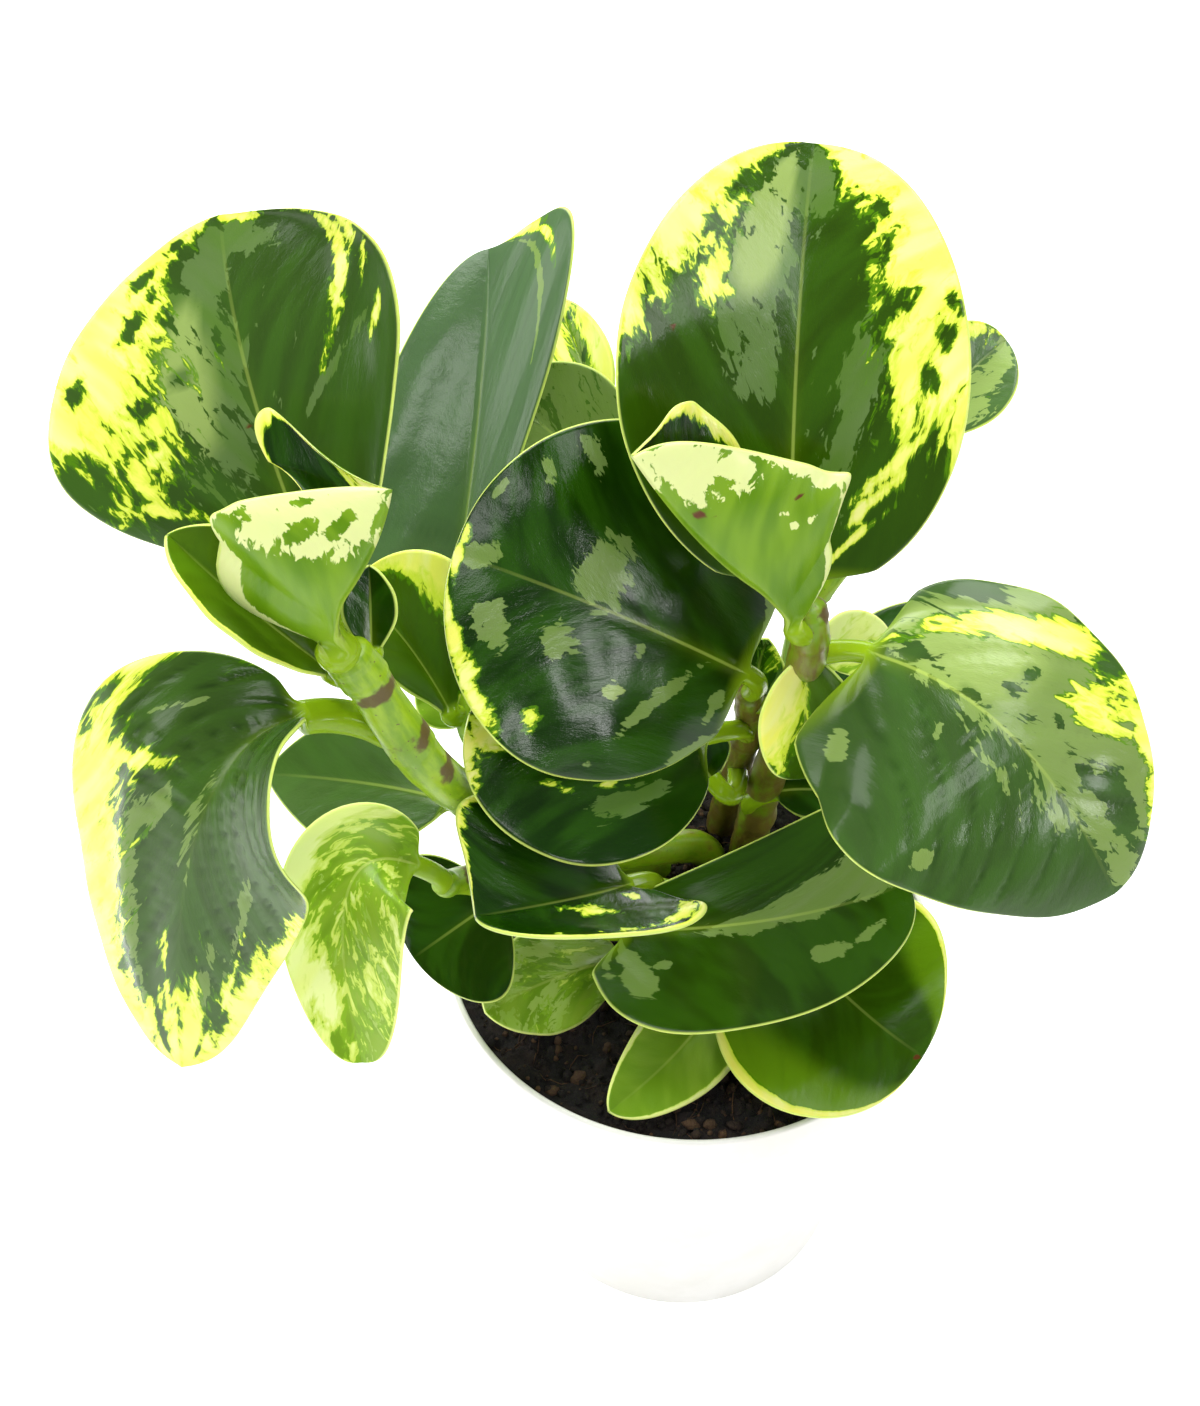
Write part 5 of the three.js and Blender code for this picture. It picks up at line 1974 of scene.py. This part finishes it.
            sage(0.6, 0.3, 0.2, 0.2),
        ),
    ),
    Leaf(
        "leaf_side_high", on=("back", 0.7),
        base=(-28.0, 66.0, 168.0), middle=(-46.0, 74.0, 182.0), tip=(-62.0, 80.0, 198.0),
        facing=(-0.2, -0.6, 0.8),
        width=34.0, fold=(8.0, 8.0), curl=(8.0, 8.0), cream_level=-0.75, sage_level=-0.5,
        marks=(
            cream(0.8, -0.8, 0.2, 0.3),
        ),
    ),
    Leaf(
        "leaf_far_small", on=("back", 0.3),
        base=(-10.0, 52.0, 112.0), middle=(-26.0, 66.0, 120.0), tip=(-44.0, 80.0, 120.0),
        facing=(-0.1, 0.0, 1.0),
        width=32.0, fold=(8.0, 8.0), curl=(8.0, 8.0), cream_level=-0.75, sage_level=-0.5,
    ),
)


# Studio

@dataclass(frozen=True)
class Lamp:
    """A soft rectangular lamp, in metres and watts."""

    name: str
    place: Point
    aim: Point
    size: Pair
    power: float
    colour: Colour = (1.0, 1.0, 1.0)

    def add(self) -> None:
        """Adds the lamp to the scene."""
        data = bpy.data.lights.new(self.name, "AREA")
        data.shape = "RECTANGLE"
        data.size, data.size_y = self.size
        data.energy = self.power
        data.color = self.colour
        lamp = bpy.data.objects.new(self.name, data)
        lamp.location = self.place
        lamp.rotation_euler = look(self.place, self.aim)
        bpy.context.scene.collection.objects.link(lamp)


def look(place: Point, aim: Point) -> tuple[float, float, float]:
    """Turn that points an object's -Z axis from place to aim, its Y axis up."""
    x, y, z = np.array(aim) - np.array(place)
    return (math.pi / 2.0 + math.atan2(z, math.hypot(x, y)), 0.0, math.atan2(y, x) - math.pi / 2.0)


@dataclass(frozen=True)
class Studio:
    """White floor, soft lamps and the camera at the photograph's angle."""

    camera_place: Point = (-0.022, -0.309, 0.495)
    pitch: float = 45.0
    lens: float = 51.2
    floor_size: float = 8.0
    floor_colour: Colour = display(246, 246, 245)
    floor_glow: float = 0.42
    sky: float = 0.26
    backdrop: float = 1.0
    lamps: tuple[Lamp, ...] = (
        Lamp("softbox_back", (-0.35, 1.0, 1.35), (0.0, 0.0, 0.18), (1.3, 0.9), 28.0),
        Lamp("softbox_left", (-1.2, -0.25, 0.9), (0.0, 0.0, 0.18), (0.9, 0.9), 11.0),
        Lamp("softbox_front", (1.08, -0.88, 0.52), (0.02, -0.05, 0.2), (0.18, 0.26), 2.6),
        Lamp("softbox_window", (0.42, -0.85, 1.25), (0.04, -0.02, 0.2), (0.5, 0.4), 4.2),
        Lamp("softbox_top", (0.25, 0.15, 1.6), (0.0, 0.0, 0.18), (0.8, 0.8), 15.5),
    )

    def camera(self) -> None:
        """Adds the camera, looking along +Y and down."""
        data = bpy.data.cameras.new("camera")
        data.lens = self.lens
        data.sensor_width = 36.0
        data.clip_start, data.clip_end = 0.01, 50.0
        camera = bpy.data.objects.new("camera", data)
        camera.location = self.camera_place
        camera.rotation_euler = (math.radians(90.0 - self.pitch), 0.0, 0.0)
        bpy.context.scene.collection.objects.link(camera)
        bpy.context.scene.camera = camera

    def floor(self) -> None:
        """Adds the floor just under the pot."""
        half = self.floor_size / 2.0
        mesh = bpy.data.meshes.new("floor")
        corners = [(-half, -half, 0.0), (half, -half, 0.0), (half, half, 0.0), (-half, half, 0.0)]
        mesh.from_pydata(corners, [], [(0, 1, 2, 3)])
        material, sheet, shader = new_material("floor_paper")
        sheet.fill(shader, {
            "Base Color": self.floor_colour, "Roughness": 0.9, "Specular IOR Level": 0.1,
            "Emission Color": (1.0, 1.0, 1.0), "Emission Strength": self.floor_glow,
        })
        mesh.materials.append(material)
        floor = bpy.data.objects.new("floor", mesh)
        bpy.context.scene.collection.objects.link(floor)

    def build(self) -> None:
        """Adds all of it and a plain sky, soft grey as a light and white where the camera sees it."""
        self.camera()
        self.floor()
        for lamp in self.lamps:
            lamp.add()
        world = bpy.data.worlds.new("white_sky")
        world.use_nodes = True
        background = world.node_tree.nodes["Background"]
        sheet = Sheet(world.node_tree)
        seen = sheet.add("LightPath").outputs["Is Camera Ray"]
        strength = sheet.sum("MULTIPLY_ADD", seen, self.backdrop - self.sky, self.sky)
        sheet.fill(background, {"Color": (1.0, 1.0, 1.0), "Strength": strength})
        bpy.context.scene.world = world
        bpy.context.scene.view_settings.view_transform = "Standard"


# The plant

@dataclass(frozen=True)
class Finishes:
    """The materials, built once."""

    leaf: bpy.types.Material
    pale_leaf: bpy.types.Material
    stem: bpy.types.Material
    soil: bpy.types.Material
    pot: bpy.types.Material


def make_finishes() -> Finishes:
    """Builds the shared node groups and every material.

    Returns:
        The materials.
    """
    effects = Effects(blotch_group(), skin_group(), grain_group())
    return Finishes(
        leaf=LEAF_FINISH.material(effects),
        pale_leaf=PALE_LEAF_FINISH.material(effects),
        stem=StemFinish().material(effects),
        soil=SoilFinish().material(effects),
        pot=PotFinish().material(effects),
    )


@dataclass(frozen=True)
class Plant:
    """Stems and leaves, and which leaf sits where."""

    stems: tuple[Stem, ...]
    leaves: tuple[Leaf, ...]

    def build(self, finishes: Finishes) -> None:
        """Makes each stem and each leaf as a piece of its own.

        Args:
            finishes: the materials.
        """
        for number, stem in enumerate(self.stems):
            own = [leaf for leaf in self.leaves if f"stem_{leaf.on[0]}" == stem.node]
            joints = np.array([leaf.on[1] for leaf in own])
            name = stem.node.replace("stem", "shoot")
            piece = stem.skin(joints, number + 1).piece(name, finishes.stem)
            settle(piece, "stem", stem.node)
        axes = {stem.node: stem for stem in self.stems}
        for leaf in self.leaves:
            root, _, _ = axes[f"stem_{leaf.on[0]}"].axis(np.array([leaf.on[1]]))
            material = finishes.pale_leaf if leaf.pale else finishes.leaf
            piece = leaf.skin(root[0]).piece(leaf.node.replace("leaf", "blade"), material)
            settle(piece, "pale_leaf" if leaf.pale else "leaf", leaf.node)


def main() -> None:
    """Builds the potted plant piece by piece, then the studio round it."""
    logging.basicConfig(level=logging.INFO, format="%(message)s")
    finishes = make_finishes()
    pot = Pot()
    settle(pot.skin().piece("plastic_pot", finishes.pot), "pot", "pot")
    soil = Soil(pot)
    settle(soil.skin().piece("soil_plug", finishes.soil), "soil", "soil")
    settle(soil.crumb_skin().piece("soil_crumbs", finishes.soil), "soil")
    settle(soil.fibre_skin().piece("soil_fibres", finishes.soil), "soil")
    Plant(STEMS, LEAVES).build(finishes)
    Studio().build()


if __name__ == "__main__":
    main()
